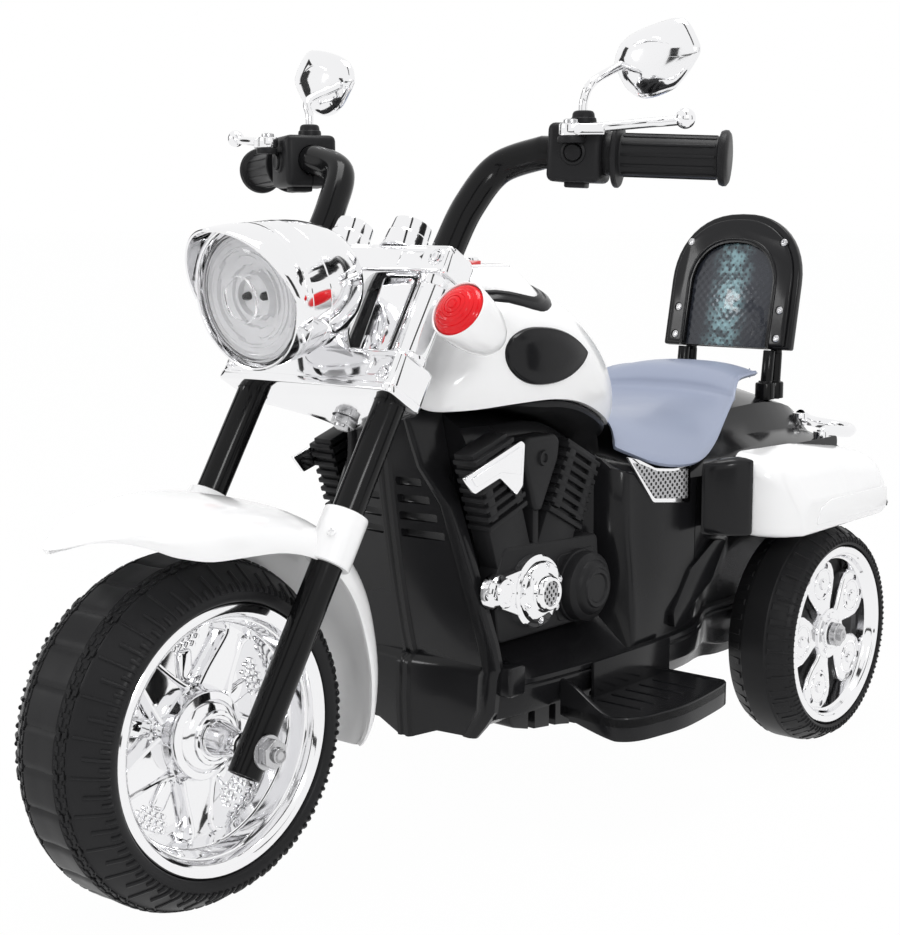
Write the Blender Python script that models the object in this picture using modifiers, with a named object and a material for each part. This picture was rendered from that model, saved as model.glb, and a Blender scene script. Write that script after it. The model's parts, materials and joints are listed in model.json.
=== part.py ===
"""Kids ride-on motorcycle trike: the pieces at their real size, in metres, +Z up.

The vehicle is drawn with Y = 0 at the front axle and the ground at Z = 0. It faces -Y, and +X is
the rider's left. The last step moves everything so that the origin is under the middle of the
whole vehicle.
"""
import math

import bmesh
import bpy
from mathutils import Matrix, Vector

# Stance and wheels
WHEELBASE = 0.575
RAKE = math.radians(31.7)
STEER_TRAIL = 0.030
GAP = 0.0003
RUNNING_GAP = 0.0004
FRONT_WHEEL_R = 0.1125
FRONT_TYRE_W = 0.088
FRONT_RIM_R = 0.086
FRONT_RIM_W = 0.080
FRONT_HUB_W = 0.062
REAR_WHEEL_R = 0.091
REAR_TYRE_W = 0.060
REAR_RIM_R = 0.074
REAR_RIM_W = 0.056
REAR_RIM_FACE_X = 0.154
SPOKES = 5
FRONT_SPOKE_TURN = 57.5
REAR_SPOKE_TURN = 35
AXLE_R = 0.005
NUT_R = 0.0095
NUT_T = 0.007
WASHER_R = 0.011
WASHER_T = 0.0015
AXLE_END = 0.004

# Fork, clamps and column, in the raked frame: V runs back across the fork, W up along it
LEG_X = 0.064
LEG_R = 0.0105
LEG_WALL = 0.002
LEG_BOTTOM_W = -0.018
CLAMP_HALF = 0.080
CLAMP_FRONT_V = 0.022
UPPER_FRONT_V = 0.016
LOWER_CLAMP_W = 0.235
LOWER_CLAMP_H = 0.030
UPPER_CLAMP_W = 0.325
UPPER_CLAMP_H = 0.0225
SOCKET_LAND = 0.009
SLEEVE_R = 0.0125
COLUMN_R = 0.009
COLUMN_NUT_R = 0.0125
HEAD_TUBE_R = 0.019
NECK_HALF = 0.018
NECK_CLEARANCE = 0.009
RISER_X = 0.0268
RISER_V = -0.004
RISER_R = 0.0155
RISER_H = 0.020
BRACKET_REACH = 0.024
CLAMP_SCREW_X = 0.070
SCREW_HEAD_R = 0.0045
HEAD_RISE = 0.0022

# Handlebar and controls
BAR_R = 0.011
BAR_SOCKET_X = 0.062
GRIP_R = 0.0138
GRIP_FLANGE_R = 0.0180
GRIP_GUARD_R = 0.0215
STRAIGHT_START = 0.048
BORE_ROOM = 0.0009
GRIP_START_X = 0.150
GRIP_END_X = 0.215
HOUSING_LEN = 0.036
HOUSING_H = 0.038
HOUSING_D = 0.040
BOOT_R = 0.0085
BOOT_H = 0.0090
STEM_R = 0.0030
STEM_ROOM = 0.0012
MIRROR_T = 0.013
LEVER_T = 0.006
LEVER_BALL_R = 0.0065
BUTTON_R = 0.0055

# Headlight and signals
LAMP_R = 0.047
LAMP_LEN = 0.095
LAMP_TILT = math.radians(8.6)
LAMP_AHEAD = 0.0917
LAMP_LIFT = 0.0239
LAMP_WALL = 0.003
PEAK_REACH = 0.034
SIGNAL_X = 0.102
SIGNAL_W = 0.300
SIGNAL_R = 0.0205
SIGNAL_LEN = 0.044
SIGNAL_FRONT_V = -0.013
SIGNAL_LENS_R = 0.0185

# Front fender
FENDER_WALL = 0.0028
COLLAR_R = 0.0150
COLLAR_LOW_W = 0.122
COLLAR_H = 0.036

# Body
SHELL_WALL = 0.0028
SEAM_GAP = 0.0004
SEAM_RUN = 0.012
RECESS_X = 0.058
BODY_REAR_Y = 0.718
BODY_FRONT_Y = 0.218
FLOOR_Z = 0.085
AXLE_BAY_Z = 0.070
DECK_Z = 0.236
TANK_SEAT_Z = 0.289
TANK_WALL = 0.0028
SEAT_WALL = 0.0040
ENGINE_DEPTH = 0.021
FIN_DEPTH = 0.0034
FIN_PITCH = 0.0090
GEAR_COVER_R = 0.0265
GEAR_COVER_T = 0.019
ROUND_COVER_R = 0.0255
ROUND_COVER_T = 0.022
BOARD_INNER_X = 0.0998
BOARD_OUTER_X = 0.1655
BOARD_FRONT_Y = 0.2635
BOARD_STEP_X = 0.0955
BOARD_REAR_Y = 0.4025
BOARD_FLOOR_Z = 0.081
BOARD_FLOOR_T = 0.006
BOARD_RIM_T = 0.0045
BOARD_RIM_LOW_Z = 0.071
BOARD_RIM_TOP_Z = 0.088
BOARD_STEP_Z = 0.106
BOARD_STEP_LOW = 0.009
BOARD_FLANGE_T = 0.003
BOARD_FLANGE_TOP_Z = 0.113
BAG_OUTER_X = 0.166
BAG_WALL = 0.003
REST_HALF = 0.0650
REST_BOTTOM_Z = 0.317
REST_TOP_Z = 0.435
REST_T = 0.012
REST_Y = 0.649
REST_LEAN = math.radians(12)
POST_R = 0.0052
POST_X = 0.044
SOCKET_R = 0.0085
COLLAR_RISE = 0.009
BUMPER_R = 0.0050
BUMPER_FOOT_R = 0.0062
SCREW_R = 0.0032

# Colours: name, base colour, roughness, metallic
FINISHES = {
    "black_gloss": ((0.022, 0.022, 0.024), 0.28, 0.0),
    "black_satin": ((0.030, 0.030, 0.032), 0.50, 0.0),
    "tyre": ((0.028, 0.028, 0.028), 0.62, 0.0),
    "chrome": ((0.86, 0.86, 0.87), 0.10, 1.0),
    "white_gloss": ((0.86, 0.86, 0.87), 0.22, 0.0),
    "seat": ((0.30, 0.34, 0.44), 0.48, 0.0),
    "red_lens": ((0.72, 0.02, 0.03), 0.12, 0.0),
    "clear_lens": ((0.86, 0.87, 0.88), 0.08, 0.0),
    "steel": ((0.60, 0.60, 0.61), 0.30, 1.0),
    "panel": ((0.07, 0.10, 0.11), 0.30, 0.2),
    "red_plastic": ((0.70, 0.03, 0.03), 0.35, 0.0),
    "battery": ((0.12, 0.12, 0.13), 0.6, 0.0),
}


def start_clean():
    for thing in list(bpy.data.objects):
        bpy.data.objects.remove(thing, do_unlink=True)
    for name in ("ride_on_trike", "cutters"):
        group = bpy.data.collections.new(name)
        bpy.context.scene.collection.children.link(group)
        GROUPS[name] = group


def finish_of(name):
    if name not in MATERIALS:
        colour, rough, metal = FINISHES[name]
        material = bpy.data.materials.new(name)
        material.use_nodes = True
        shader = material.node_tree.nodes["Principled BSDF"]
        shader.inputs["Base Color"].default_value = (*colour, 1.0)
        shader.inputs["Roughness"].default_value = rough
        shader.inputs["Metallic"].default_value = metal
        material.diffuse_color = (*colour, 1.0)
        MATERIALS[name] = material
    return MATERIALS[name]


GROUPS = {}
MATERIALS = {}
BOTH_ENDS = (0, -1)
PIVOTS = {}
start_clean()


def fork_point(x, v, w):
    """A point of the raked frame in vehicle coordinates."""
    y = v * math.cos(RAKE) + w * math.sin(RAKE)
    z = FRONT_WHEEL_R - v * math.sin(RAKE) + w * math.cos(RAKE)
    return Vector((x, y, z))


FORK_UP = Vector((0, math.sin(RAKE), math.cos(RAKE)))
FORK_BACK = Vector((0, math.cos(RAKE), -math.sin(RAKE)))
LEFT = Vector((1, 0, 0))
BACK = Vector((0, 1, 0))
UP = Vector((0, 0, 1))


def frame_matrix(origin, z_axis, x_axis):
    """The matrix of a frame with the given origin, Z axis and roughly the given X axis."""
    z = Vector(z_axis).normalized()
    y = z.cross(Vector(x_axis)).normalized()
    x = y.cross(z)
    turn = Matrix((x, y, z)).transposed().to_4x4()
    return Matrix.Translation(Vector(origin)) @ turn


FORK_FRAME = frame_matrix(fork_point(0, 0, 0), FORK_UP, LEFT)


def add_object(name, mesh, matrix=None):
    piece = bpy.data.objects.new(name, mesh)
    GROUPS["cutters"].objects.link(piece)
    if matrix is not None:
        piece.matrix_world = matrix
    piece.hide_render = True
    piece.display_type = "WIRE"
    return piece


def mesh_from(name, shape):
    mesh = bpy.data.meshes.new(name)
    shape.to_mesh(mesh)
    shape.free()
    return mesh


def bevel(piece, width, segments=2, angle=35):
    rounding = piece.modifiers.new("rounding", "BEVEL")
    rounding.width = width
    rounding.segments = segments
    rounding.limit_method = "ANGLE"
    rounding.angle_limit = math.radians(angle)
    rounding.use_clamp_overlap = True
    return piece


def box(name, low, high, matrix=None):
    """A box between two corners."""
    low, high = Vector(low), Vector(high)
    shape = bmesh.new()
    bmesh.ops.create_cube(shape, size=1.0)
    bmesh.ops.scale(shape, vec=high - low, verts=shape.verts)
    bmesh.ops.translate(shape, vec=(low + high) / 2, verts=shape.verts)
    return add_object(name, mesh_from(name, shape), matrix)


def rod(name, start, end, radius, sides=12, end_radius=None):
    """A round rod or cone between two points."""
    start, end = Vector(start), Vector(end)
    shape = bmesh.new()
    bmesh.ops.create_cone(shape, cap_ends=True, segments=sides, radius1=radius,
                          radius2=radius if end_radius is None else end_radius,
                          depth=(end - start).length)
    side = LEFT if abs((end - start).normalized().x) < 0.9 else BACK
    matrix = frame_matrix((start + end) / 2, end - start, side)
    return add_object(name, mesh_from(name, shape), matrix)


def ball(name, centre, radius, sides=10):
    shape = bmesh.new()
    bmesh.ops.create_uvsphere(shape, u_segments=sides, v_segments=sides // 2, radius=radius)
    return add_object(name, mesh_from(name, shape), Matrix.Translation(Vector(centre)))


def turned(name, profile, matrix, steps=20, closed=False):
    """A turned piece: (radius, height) points about the Z axis of the matrix."""
    points = list(profile)
    area = 0.0
    for (r0, h0), (r1, h1) in zip(points, points[1:] + points[:1]):
        area += r0 * h1 - r1 * h0
    if area > 0:
        points.reverse()
    mesh = bpy.data.meshes.new(name)
    edges = [(i, i + 1) for i in range(len(points) - 1)]
    if closed:
        edges.append((len(points) - 1, 0))
    mesh.from_pydata([(r, 0.0, h) for r, h in points], edges, [])
    piece = add_object(name, mesh, matrix)
    screw = piece.modifiers.new("turn", "SCREW")
    screw.steps = steps
    screw.render_steps = steps
    screw.use_merge_vertices = True
    screw.merge_threshold = 0.00001
    return piece


def plate(name, outline, thickness, matrix, holes=()):
    """A flat outline in the XY plane of the matrix, extruded from 0 up to the thickness."""
    curve = bpy.data.curves.new(name, "CURVE")
    curve.dimensions = "2D"
    curve.fill_mode = "BOTH"
    curve.extrude = thickness / 2
    for ring in (outline, *holes):
        spline = curve.splines.new("POLY")
        spline.points.add(len(ring) - 1)
        for point, (x, y) in zip(spline.points, ring):
            point.co = (x, y, 0, 1)
        spline.use_cyclic_u = True
    lift = Matrix.Translation((0, 0, thickness / 2))
    return settle(bpy.data.objects.new(name, curve), matrix @ lift)


def tube(name, points, radius, sides=4, smooth=True):
    """A round bar along a smooth route, with filled caps."""
    curve = bpy.data.curves.new(name, "CURVE")
    curve.dimensions = "3D"
    curve.bevel_depth = radius
    curve.bevel_resolution = sides
    curve.use_fill_caps = True
    route = smooth_route(points) if smooth else [Vector(p) for p in points]
    spline = curve.splines.new("POLY")
    spline.points.add(len(route) - 1)
    for point, place in zip(spline.points, route):
        point.co = (*place, 1)
    return settle(bpy.data.objects.new(name, curve), Matrix.Identity(4))


def smooth_route(points, per_span=3):
    """Points on a Catmull-Rom curve through the given points."""
    fixed = [Vector(p) for p in points]
    route = []
    ends = [2 * fixed[0] - fixed[1], *fixed, 2 * fixed[-1] - fixed[-2]]
    for a, b, c, d in zip(ends, ends[1:], ends[2:], ends[3:]):
        for step in range(per_span):
            t = step / per_span
            route.append(0.5 * (2 * b + (c - a) * t + (2 * a - 5 * b + 4 * c - d) * t ** 2
                                + (3 * b - a - 3 * c + d) * t ** 3))
    route.append(fixed[-1])
    return route


def settle(curve_object, matrix):
    """A curve object made a mesh with its caps welded, so that it can be cut and joined."""
    GROUPS["cutters"].objects.link(curve_object)
    curve_object.matrix_world = matrix
    bpy.context.view_layer.update()
    ready = curve_object.evaluated_get(bpy.context.evaluated_depsgraph_get())
    mesh = bpy.data.meshes.new_from_object(ready)
    shape = bmesh.new()
    shape.from_mesh(mesh)
    bmesh.ops.remove_doubles(shape, verts=shape.verts, dist=0.00001)
    bmesh.ops.recalc_face_normals(shape, faces=shape.faces)
    shape.to_mesh(mesh)
    shape.free()
    name = curve_object.name
    placed = curve_object.matrix_world.copy()
    bpy.data.objects.remove(curve_object, do_unlink=True)
    return add_object(name, mesh, placed)


def loft(name, rings, closed=False, capped=(), matrix=None):
    """A skin through rings of as many points each. capped holds the rings that get a face."""
    shape = bmesh.new()
    rows = [[shape.verts.new(point) for point in ring] for ring in rings]
    count = len(rows[0])
    spans = count if closed else count - 1
    for low, high in zip(rows, rows[1:]):
        for i in range(spans):
            j = (i + 1) % count
            shape.faces.new((low[i], low[j], high[j], high[i]))
    for end in capped:
        shape.faces.new(rows[end])
    bmesh.ops.remove_doubles(shape, verts=shape.verts, dist=0.00001)
    bmesh.ops.recalc_face_normals(shape, faces=shape.faces)
    middle = sum((vert.co for vert in shape.verts), Vector()) / len(shape.verts)
    outward = sum(face.calc_area() * face.normal.dot(face.calc_center_median() - middle)
                  for face in shape.faces)
    if outward < 0:
        bmesh.ops.reverse_faces(shape, faces=shape.faces)
    return add_object(name, mesh_from(name, shape), matrix)


def thicken(piece, wall, offset=-1.0):
    skin = piece.modifiers.new("wall", "SOLIDIFY")
    skin.thickness = wall
    skin.offset = offset
    skin.use_even_offset = True
    piece.modifiers.new("facets", "TRIANGULATE")
    return piece


def carve(piece, tool, how="DIFFERENCE"):
    """Cuts, joins or trims a piece with a tool that stays out of the model."""
    step = piece.modifiers.new("carve", "BOOLEAN")
    step.operation = how
    step.solver = "EXACT"
    step.object = tool
    return piece


def weld(piece, *others):
    for other in others:
        carve(piece, other, "UNION")
    return piece


def mirrored(name, piece):
    """A copy of a left piece for the right side."""
    bpy.context.view_layer.update()
    graph = bpy.context.evaluated_depsgraph_get()
    mesh = bpy.data.meshes.new_from_object(piece.evaluated_get(graph))
    mesh.transform(Matrix.Scale(-1, 4, LEFT) @ piece.matrix_world)
    mesh.flip_normals()
    return add_object(name, mesh)


def shade(piece, angle=35):
    """Round faces shade smooth, and edges past the angle stay crisp."""
    if piece.modifiers:
        bpy.context.view_layer.update()
        graph = bpy.context.evaluated_depsgraph_get()
        mesh = bpy.data.meshes.new_from_object(piece.evaluated_get(graph))
        piece.modifiers.clear()
        piece.data = mesh
    piece.data.shade_smooth()
    piece.data.set_sharp_from_angle(angle=math.radians(angle))


def keep(name, piece, finish, pivot="vehicle"):
    """Makes a piece part of the model, under its name, finish and carrying pivot."""
    shade(piece)
    piece.name = name
    piece.data.name = name
    GROUPS["cutters"].objects.unlink(piece)
    GROUPS["ride_on_trike"].objects.link(piece)
    piece.hide_render = False
    piece.display_type = "TEXTURED"
    piece.data.materials.clear()
    piece.data.materials.append(finish_of(finish))
    carrier = PIVOTS[pivot]
    piece.parent = carrier
    piece.matrix_parent_inverse = carrier.matrix_world.inverted()
    return piece


def keep_sides(name, piece, finish, pivot="vehicle"):
    """Keeps a left piece and its mirror copy. A pivot ending in _ has one empty on each side."""
    copy = mirrored(name + "_right", piece)
    own = pivot.endswith("_")
    keep(name + "_left", piece, finish, pivot + "left" if own else pivot)
    keep(name + "_right", copy, finish, pivot + "right" if own else pivot)


def add_pivot(name, matrix, parent=None):
    """An empty on a joint's axis, with its Z axis along it."""
    pivot = bpy.data.objects.new(name + "_pivot", None)
    GROUPS["ride_on_trike"].objects.link(pivot)
    pivot.empty_display_size = 0.03
    if parent:
        carrier = PIVOTS[parent]
        pivot.parent = carrier
        pivot.matrix_parent_inverse = carrier.matrix_world.inverted()
    pivot.matrix_world = matrix
    bpy.context.view_layer.update()
    PIVOTS[name] = pivot


def arc(centre, radius, start, end, steps):
    """Points on an arc, with the angles in degrees."""
    points = []
    for i in range(steps + 1):
        angle = math.radians(start + (end - start) * i / steps)
        points.append((centre[0] + radius * math.cos(angle), centre[1] + radius * math.sin(angle)))
    return points


def blend(table, at):
    """Reads a table of (place, values...) at a place between its rows."""
    rows = sorted(table)
    at = min(max(at, rows[0][0]), rows[-1][0])
    for low, high in zip(rows, rows[1:]):
        if low[0] <= at <= high[0]:
            share = (at - low[0]) / (high[0] - low[0])
            return [a + (b - a) * share for a, b in zip(low[1:], high[1:])]
    return list(rows[-1][1:])


def side_plane(x):
    """A frame whose X runs back, Y runs up and Z runs to the left."""
    return frame_matrix((x, 0, 0), LEFT, BACK)


def along_fork(w, x=0.0, v=0.0):
    return frame_matrix(fork_point(x, v, w), FORK_UP, LEFT)


# Pivots: every moving body hangs on an empty whose Z axis is its joint's axis
BAR_END = Vector((GRIP_END_X, 0.279, 0.470))
BAR_GRIP = Vector((GRIP_START_X, 0.250, 0.473))
GRIP_LINE = (BAR_END - BAR_GRIP).normalized()
GRIP_FORE = UP.cross(GRIP_LINE) * -1
HOUSING_MID = BAR_GRIP - GRIP_LINE * 0.024
LEVER_ROOT = HOUSING_MID + GRIP_FORE * 0.0285 + Vector((0, 0, 0.014))
LEVER_TIP = LEVER_ROOT + GRIP_LINE * 0.074 + Vector((0, 0, 0.009))
MIRROR_FOOT = HOUSING_MID + Vector((-0.001, 0.0055, HOUSING_H / 2 + BOOT_H))
MIRROR_MID = Vector((0.152, 0.292, 0.539))
LAMP_FORWARD = Vector((0, -math.cos(LAMP_TILT), -math.sin(LAMP_TILT)))
REAR_WHEEL_X = REAR_RIM_FACE_X - REAR_RIM_W / 2
STEER_AXIS = fork_point(0, STEER_TRAIL, LOWER_CLAMP_W + LOWER_CLAMP_H)
FRONT_AXLE = Vector((0, 0, FRONT_WHEEL_R))
REAR_AXLE = Vector((0, WHEELBASE, REAR_WHEEL_R))
SIDES = (("left", 1), ("right", -1))


def sided(point, sign):
    return Vector((point.x * sign, point.y, point.z))


DASH_Z = 0.3920 + GAP
DASH_T = 0.0070
SWITCH_AT = Vector((0.014, 0.262, DASH_Z + DASH_T))
PEDAL_HEEL = Vector((-0.130, 0.352, BOARD_FLOOR_Z + BOARD_FLOOR_T + 0.0035 + GAP))

add_pivot("vehicle", Matrix.Identity(4))
add_pivot("steering", frame_matrix(STEER_AXIS, FORK_UP, LEFT), "vehicle")
add_pivot("front_wheel", frame_matrix(FRONT_AXLE, LEFT, BACK), "steering")
for side, sign in SIDES:
    centre = REAR_AXLE + LEFT * REAR_WHEEL_X * sign
    add_pivot("rear_wheel_" + side, frame_matrix(centre, LEFT * sign, BACK), "vehicle")
    add_pivot("lever_" + side, frame_matrix(sided(LEVER_ROOT, sign), UP * sign, LEFT), "steering")
    add_pivot("mirror_" + side, frame_matrix(sided(MIRROR_FOOT, sign), UP, LEFT), "steering")
    button_at = HOUSING_MID + GRIP_FORE * (HOUSING_D / 2)
    add_pivot("button_" + side, frame_matrix(sided(button_at, sign),
                                             sided(GRIP_FORE * -1, sign), UP), "steering")
add_pivot("power_switch", frame_matrix(SWITCH_AT, LEFT, BACK), "vehicle")
add_pivot("foot_pedal", frame_matrix(PEDAL_HEEL, LEFT, BACK), "vehicle")


# Wheels

def tyre(name, side, matrix, steps):
    """A tyre from the (radius, half width) points of its side, bead first."""
    profile = side + [(r, -h) for r, h in reversed(side)]
    return turned(name, profile, matrix, steps, closed=True)


def spoked_rim(name, matrix, radius, width, depth, hub, spoke, first, steps):
    """A rim with its hub and spokes. depth is how far the barrel steps in."""
    half = width / 2
    lip = [(radius, half), (radius - 0.0075, half), (radius - 0.0095, half - 0.003),
           (radius - depth, half * 0.32)]
    barrel = turned(name, lip + [(r, -h) for r, h in reversed(lip)], matrix, steps, closed=True)
    core = turned(name + "_hub", hub, matrix, 16, closed=True)
    reach, root_half, tip_half, low, high = spoke
    arms = []
    for k in range(SPOKES):
        blade = [(reach[0], -root_half), (reach[1], -tip_half), (reach[1], tip_half),
                 (reach[0], root_half)]
        angle = math.radians(first) + 2 * math.pi * k / SPOKES
        turn = Matrix.Rotation(angle, 4, "Z") @ Matrix.Translation((0, 0, low))
        arms.append(plate(f"{name}_spoke_{k}", blade, high - low, matrix @ turn))
    return weld(barrel, core, *arms)


def front_hub():
    half = FRONT_HUB_W / 2
    bore = AXLE_R + RUNNING_GAP
    face = [(bore, half), (0.0165, half), (0.0215, half - 0.004), (0.0290, half - 0.0105),
            (0.0305, half - 0.018)]
    return face + [(r, -h) for r, h in reversed(face)]


def rear_hub():
    bore = AXLE_R + RUNNING_GAP
    inner = -REAR_RIM_W / 2
    outer = REAR_RIM_W / 2 - 0.004
    return [(bore, outer), (0.012, outer), (0.022, outer - 0.010), (0.022, inner + 0.010),
            (0.012, inner), (bore, inner)]


front_centre = frame_matrix(FRONT_AXLE, LEFT, BACK)
half = FRONT_TYRE_W / 2
front_side = [(FRONT_RIM_R + GAP, half - 0.003), (FRONT_WHEEL_R - 0.019, half),
              (FRONT_WHEEL_R - 0.0135, half - 0.006), (FRONT_WHEEL_R - 0.0038, half - 0.0205),
              (FRONT_WHEEL_R, half - 0.0285)]
keep("front_tyre", tyre("front_tyre", front_side, front_centre, 30), "tyre", "front_wheel")
keep("front_rim", spoked_rim("front_rim", front_centre, FRONT_RIM_R, FRONT_RIM_W, 0.016,
                             front_hub(), ((0.026, FRONT_RIM_R - 0.012), 0.0115, 0.0075,
                                           -0.009, 0.009), FRONT_SPOKE_TURN, 30), "chrome",
     "front_wheel")
half = REAR_TYRE_W / 2
rear_side = [(REAR_RIM_R + GAP, half - 0.003), (REAR_WHEEL_R - 0.016, half),
             (REAR_WHEEL_R - 0.0075, half - 0.006), (REAR_WHEEL_R, half * 0.38)]
for side, sign in SIDES:
    wheel_at = frame_matrix(REAR_AXLE + LEFT * REAR_WHEEL_X * sign, LEFT * sign, BACK)
    keep("rear_tyre_" + side, tyre("rear_tyre_" + side, rear_side, wheel_at, 24), "tyre",
         "rear_wheel_" + side)
    face = REAR_RIM_W / 2
    keep("rear_rim_" + side, spoked_rim("rear_rim_" + side, wheel_at, REAR_RIM_R, REAR_RIM_W,
                                        0.014, rear_hub(), ((0.017, REAR_RIM_R - 0.007), 0.0085,
                                                            0.0125, face - 0.016, face - 0.006),
                                        REAR_SPOKE_TURN, 24), "chrome", "rear_wheel_" + side)


def axle_profile(leg_face, tip):
    """Half of an axle that a nut and a washer close, from its middle outwards."""
    nut_low = leg_face + GAP + WASHER_T
    return [(AXLE_R, leg_face + GAP), (WASHER_R, leg_face + GAP), (WASHER_R, nut_low),
            (AXLE_R, nut_low), (AXLE_R, tip), (0.0, tip)]


def both_ways(half_profile):
    return [(r, -h) for r, h in reversed(half_profile)] + half_profile


leg_outer = LEG_X + LEG_R
leg_inner = LEG_X - LEG_R
nut_start = leg_outer + GAP + WASHER_T
axle_tip = nut_start + NUT_T + AXLE_END
spacer = [(AXLE_R, FRONT_HUB_W / 2 + GAP), (0.0120, FRONT_HUB_W / 2 + GAP),
          (0.0072, leg_inner - GAP), (AXLE_R, leg_inner - GAP)]
front_axle = turned("front_axle", both_ways(spacer + axle_profile(leg_outer, axle_tip)),
                    front_centre, 10)
for sign in (1, -1):
    nut = rod(f"front_nut_{sign}", FRONT_AXLE + LEFT * sign * (nut_start - 0.0005),
              FRONT_AXLE + LEFT * sign * (nut_start + NUT_T), NUT_R, 6)
    weld(front_axle, nut)
keep("front_axle", front_axle, "steel", "steering")

rear_tip = REAR_WHEEL_X + REAR_RIM_W / 2 + 0.005
rear_axle = turned("rear_axle", both_ways([(AXLE_R, 0.02), (AXLE_R, rear_tip), (0.0, rear_tip)]),
                   frame_matrix(REAR_AXLE, LEFT, BACK), 14)
cap_start = REAR_WHEEL_X + REAR_RIM_W / 2 - 0.004 + GAP
for sign in (1, -1):
    weld(rear_axle, rod(f"rear_cap_{sign}", REAR_AXLE + LEFT * sign * cap_start,
                        REAR_AXLE + LEFT * sign * (cap_start + 0.006), NUT_R, 6))
keep("rear_axle", rear_axle, "steel")


# Fork, clamps and column
leg_top_w = LOWER_CLAMP_W + LOWER_CLAMP_H - SOCKET_LAND
leg_length = leg_top_w - GAP - LEG_BOTTOM_W
fork_leg = turned("fork_leg", [(LEG_R, leg_length), (LEG_R, 0), (LEG_R - LEG_WALL, 0),
                               (LEG_R - LEG_WALL, leg_length)],
                  along_fork(LEG_BOTTOM_W, LEG_X), 16, closed=True)
axle_hole = rod("axle_hole", FRONT_AXLE + LEFT * (leg_inner - 0.01),
                FRONT_AXLE + LEFT * (leg_outer + 0.01), AXLE_R + GAP)
carve(fork_leg, axle_hole)
keep_sides("fork_leg", fork_leg, "black_gloss", "steering")


def clamp_outline(front, shoulder, *rear):
    """rear holds the left half of the rear edge, from the shoulder to the middle."""
    right = [(-CLAMP_HALF, shoulder), (-CLAMP_HALF, -front)]
    left = [(CLAMP_HALF, -front), (CLAMP_HALF, shoulder)]
    return right + left + list(rear) + [(-x, v) for x, v in reversed(rear)]


lower_clamp = plate("lower_clamp", clamp_outline(CLAMP_FRONT_V, 0.014, (0.020, 0.049)),
                    LOWER_CLAMP_H, along_fork(LOWER_CLAMP_W))
column_bore = rod("column_bore", fork_point(0, STEER_TRAIL, LOWER_CLAMP_W - 0.02),
                  fork_point(0, STEER_TRAIL, UPPER_CLAMP_W + 0.06), COLUMN_R + GAP, 16)
bevel(lower_clamp, 0.003, 1)
for sign in (1, -1):
    socket = rod(f"leg_socket_{sign}", fork_point(LEG_X * sign, 0, LOWER_CLAMP_W - 0.01),
                 fork_point(LEG_X * sign, 0, leg_top_w), LEG_R + GAP, 16)
    carve(lower_clamp, socket)
carve(lower_clamp, column_bore)

upper_clamp = plate("upper_clamp", clamp_outline(UPPER_FRONT_V, 0.014, (0.058, 0.018),
                                                 (0.034, 0.030), (0.012, 0.040)), UPPER_CLAMP_H,
                    along_fork(UPPER_CLAMP_W))
bevel(upper_clamp, 0.003, 1)
upper_top_w = UPPER_CLAMP_W + UPPER_CLAMP_H
riser_top_w = upper_top_w + RISER_H
for sign in (1, -1):
    riser = rod(f"riser_{sign}", fork_point(RISER_X * sign, RISER_V, upper_top_w - 0.004),
                fork_point(RISER_X * sign, RISER_V, riser_top_w), RISER_R, 16,
                RISER_R * 0.88)
    weld(upper_clamp, riser)
for sign in (1, -1):
    bar_hole = rod(f"bar_hole_{sign}",
                   fork_point(BAR_SOCKET_X * sign, 0, UPPER_CLAMP_W + 0.006),
                   fork_point(BAR_SOCKET_X * sign, 0, upper_top_w + 0.01),
                   BAR_R + BORE_ROOM, 14)
    carve(upper_clamp, bar_hole)
carve(upper_clamp, column_bore)
lower_top_w = LOWER_CLAMP_W + LOWER_CLAMP_H
upper_screw_w = UPPER_CLAMP_W + UPPER_CLAMP_H / 2
for sign in (1, -1):
    weld(upper_clamp,
         rod(f"fork_sleeve_{sign}", fork_point(LEG_X * sign, 0, lower_top_w + GAP),
             fork_point(LEG_X * sign, 0, UPPER_CLAMP_W + 0.003), SLEEVE_R, 16),
         rod(f"upper_screw_{sign}", fork_point(CLAMP_SCREW_X * sign, 0.001 - UPPER_FRONT_V,
                                               upper_screw_w),
             fork_point(CLAMP_SCREW_X * sign, -UPPER_FRONT_V - HEAD_RISE, upper_screw_w),
             SCREW_HEAD_R, 8),
         rod(f"riser_screw_{sign}", fork_point(RISER_X * sign, RISER_V, riser_top_w - 0.001),
             fork_point(RISER_X * sign, RISER_V, riser_top_w + HEAD_RISE), SCREW_HEAD_R, 8))
keep("upper_clamp", upper_clamp, "chrome", "steering")

column = rod("column_shaft", fork_point(0, STEER_TRAIL, LOWER_CLAMP_W - 0.010),
             fork_point(0, STEER_TRAIL, upper_top_w + 0.007), COLUMN_R, 16)
weld(column, rod("column_low_nut", fork_point(0, STEER_TRAIL, LOWER_CLAMP_W - 0.009),
                 fork_point(0, STEER_TRAIL, LOWER_CLAMP_W - GAP), COLUMN_NUT_R, 6),
     rod("column_top_nut", fork_point(0, STEER_TRAIL, upper_top_w + GAP),
         fork_point(0, STEER_TRAIL, upper_top_w + 0.006), COLUMN_NUT_R, 6))
keep("steering_column", column, "steel", "steering")

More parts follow.
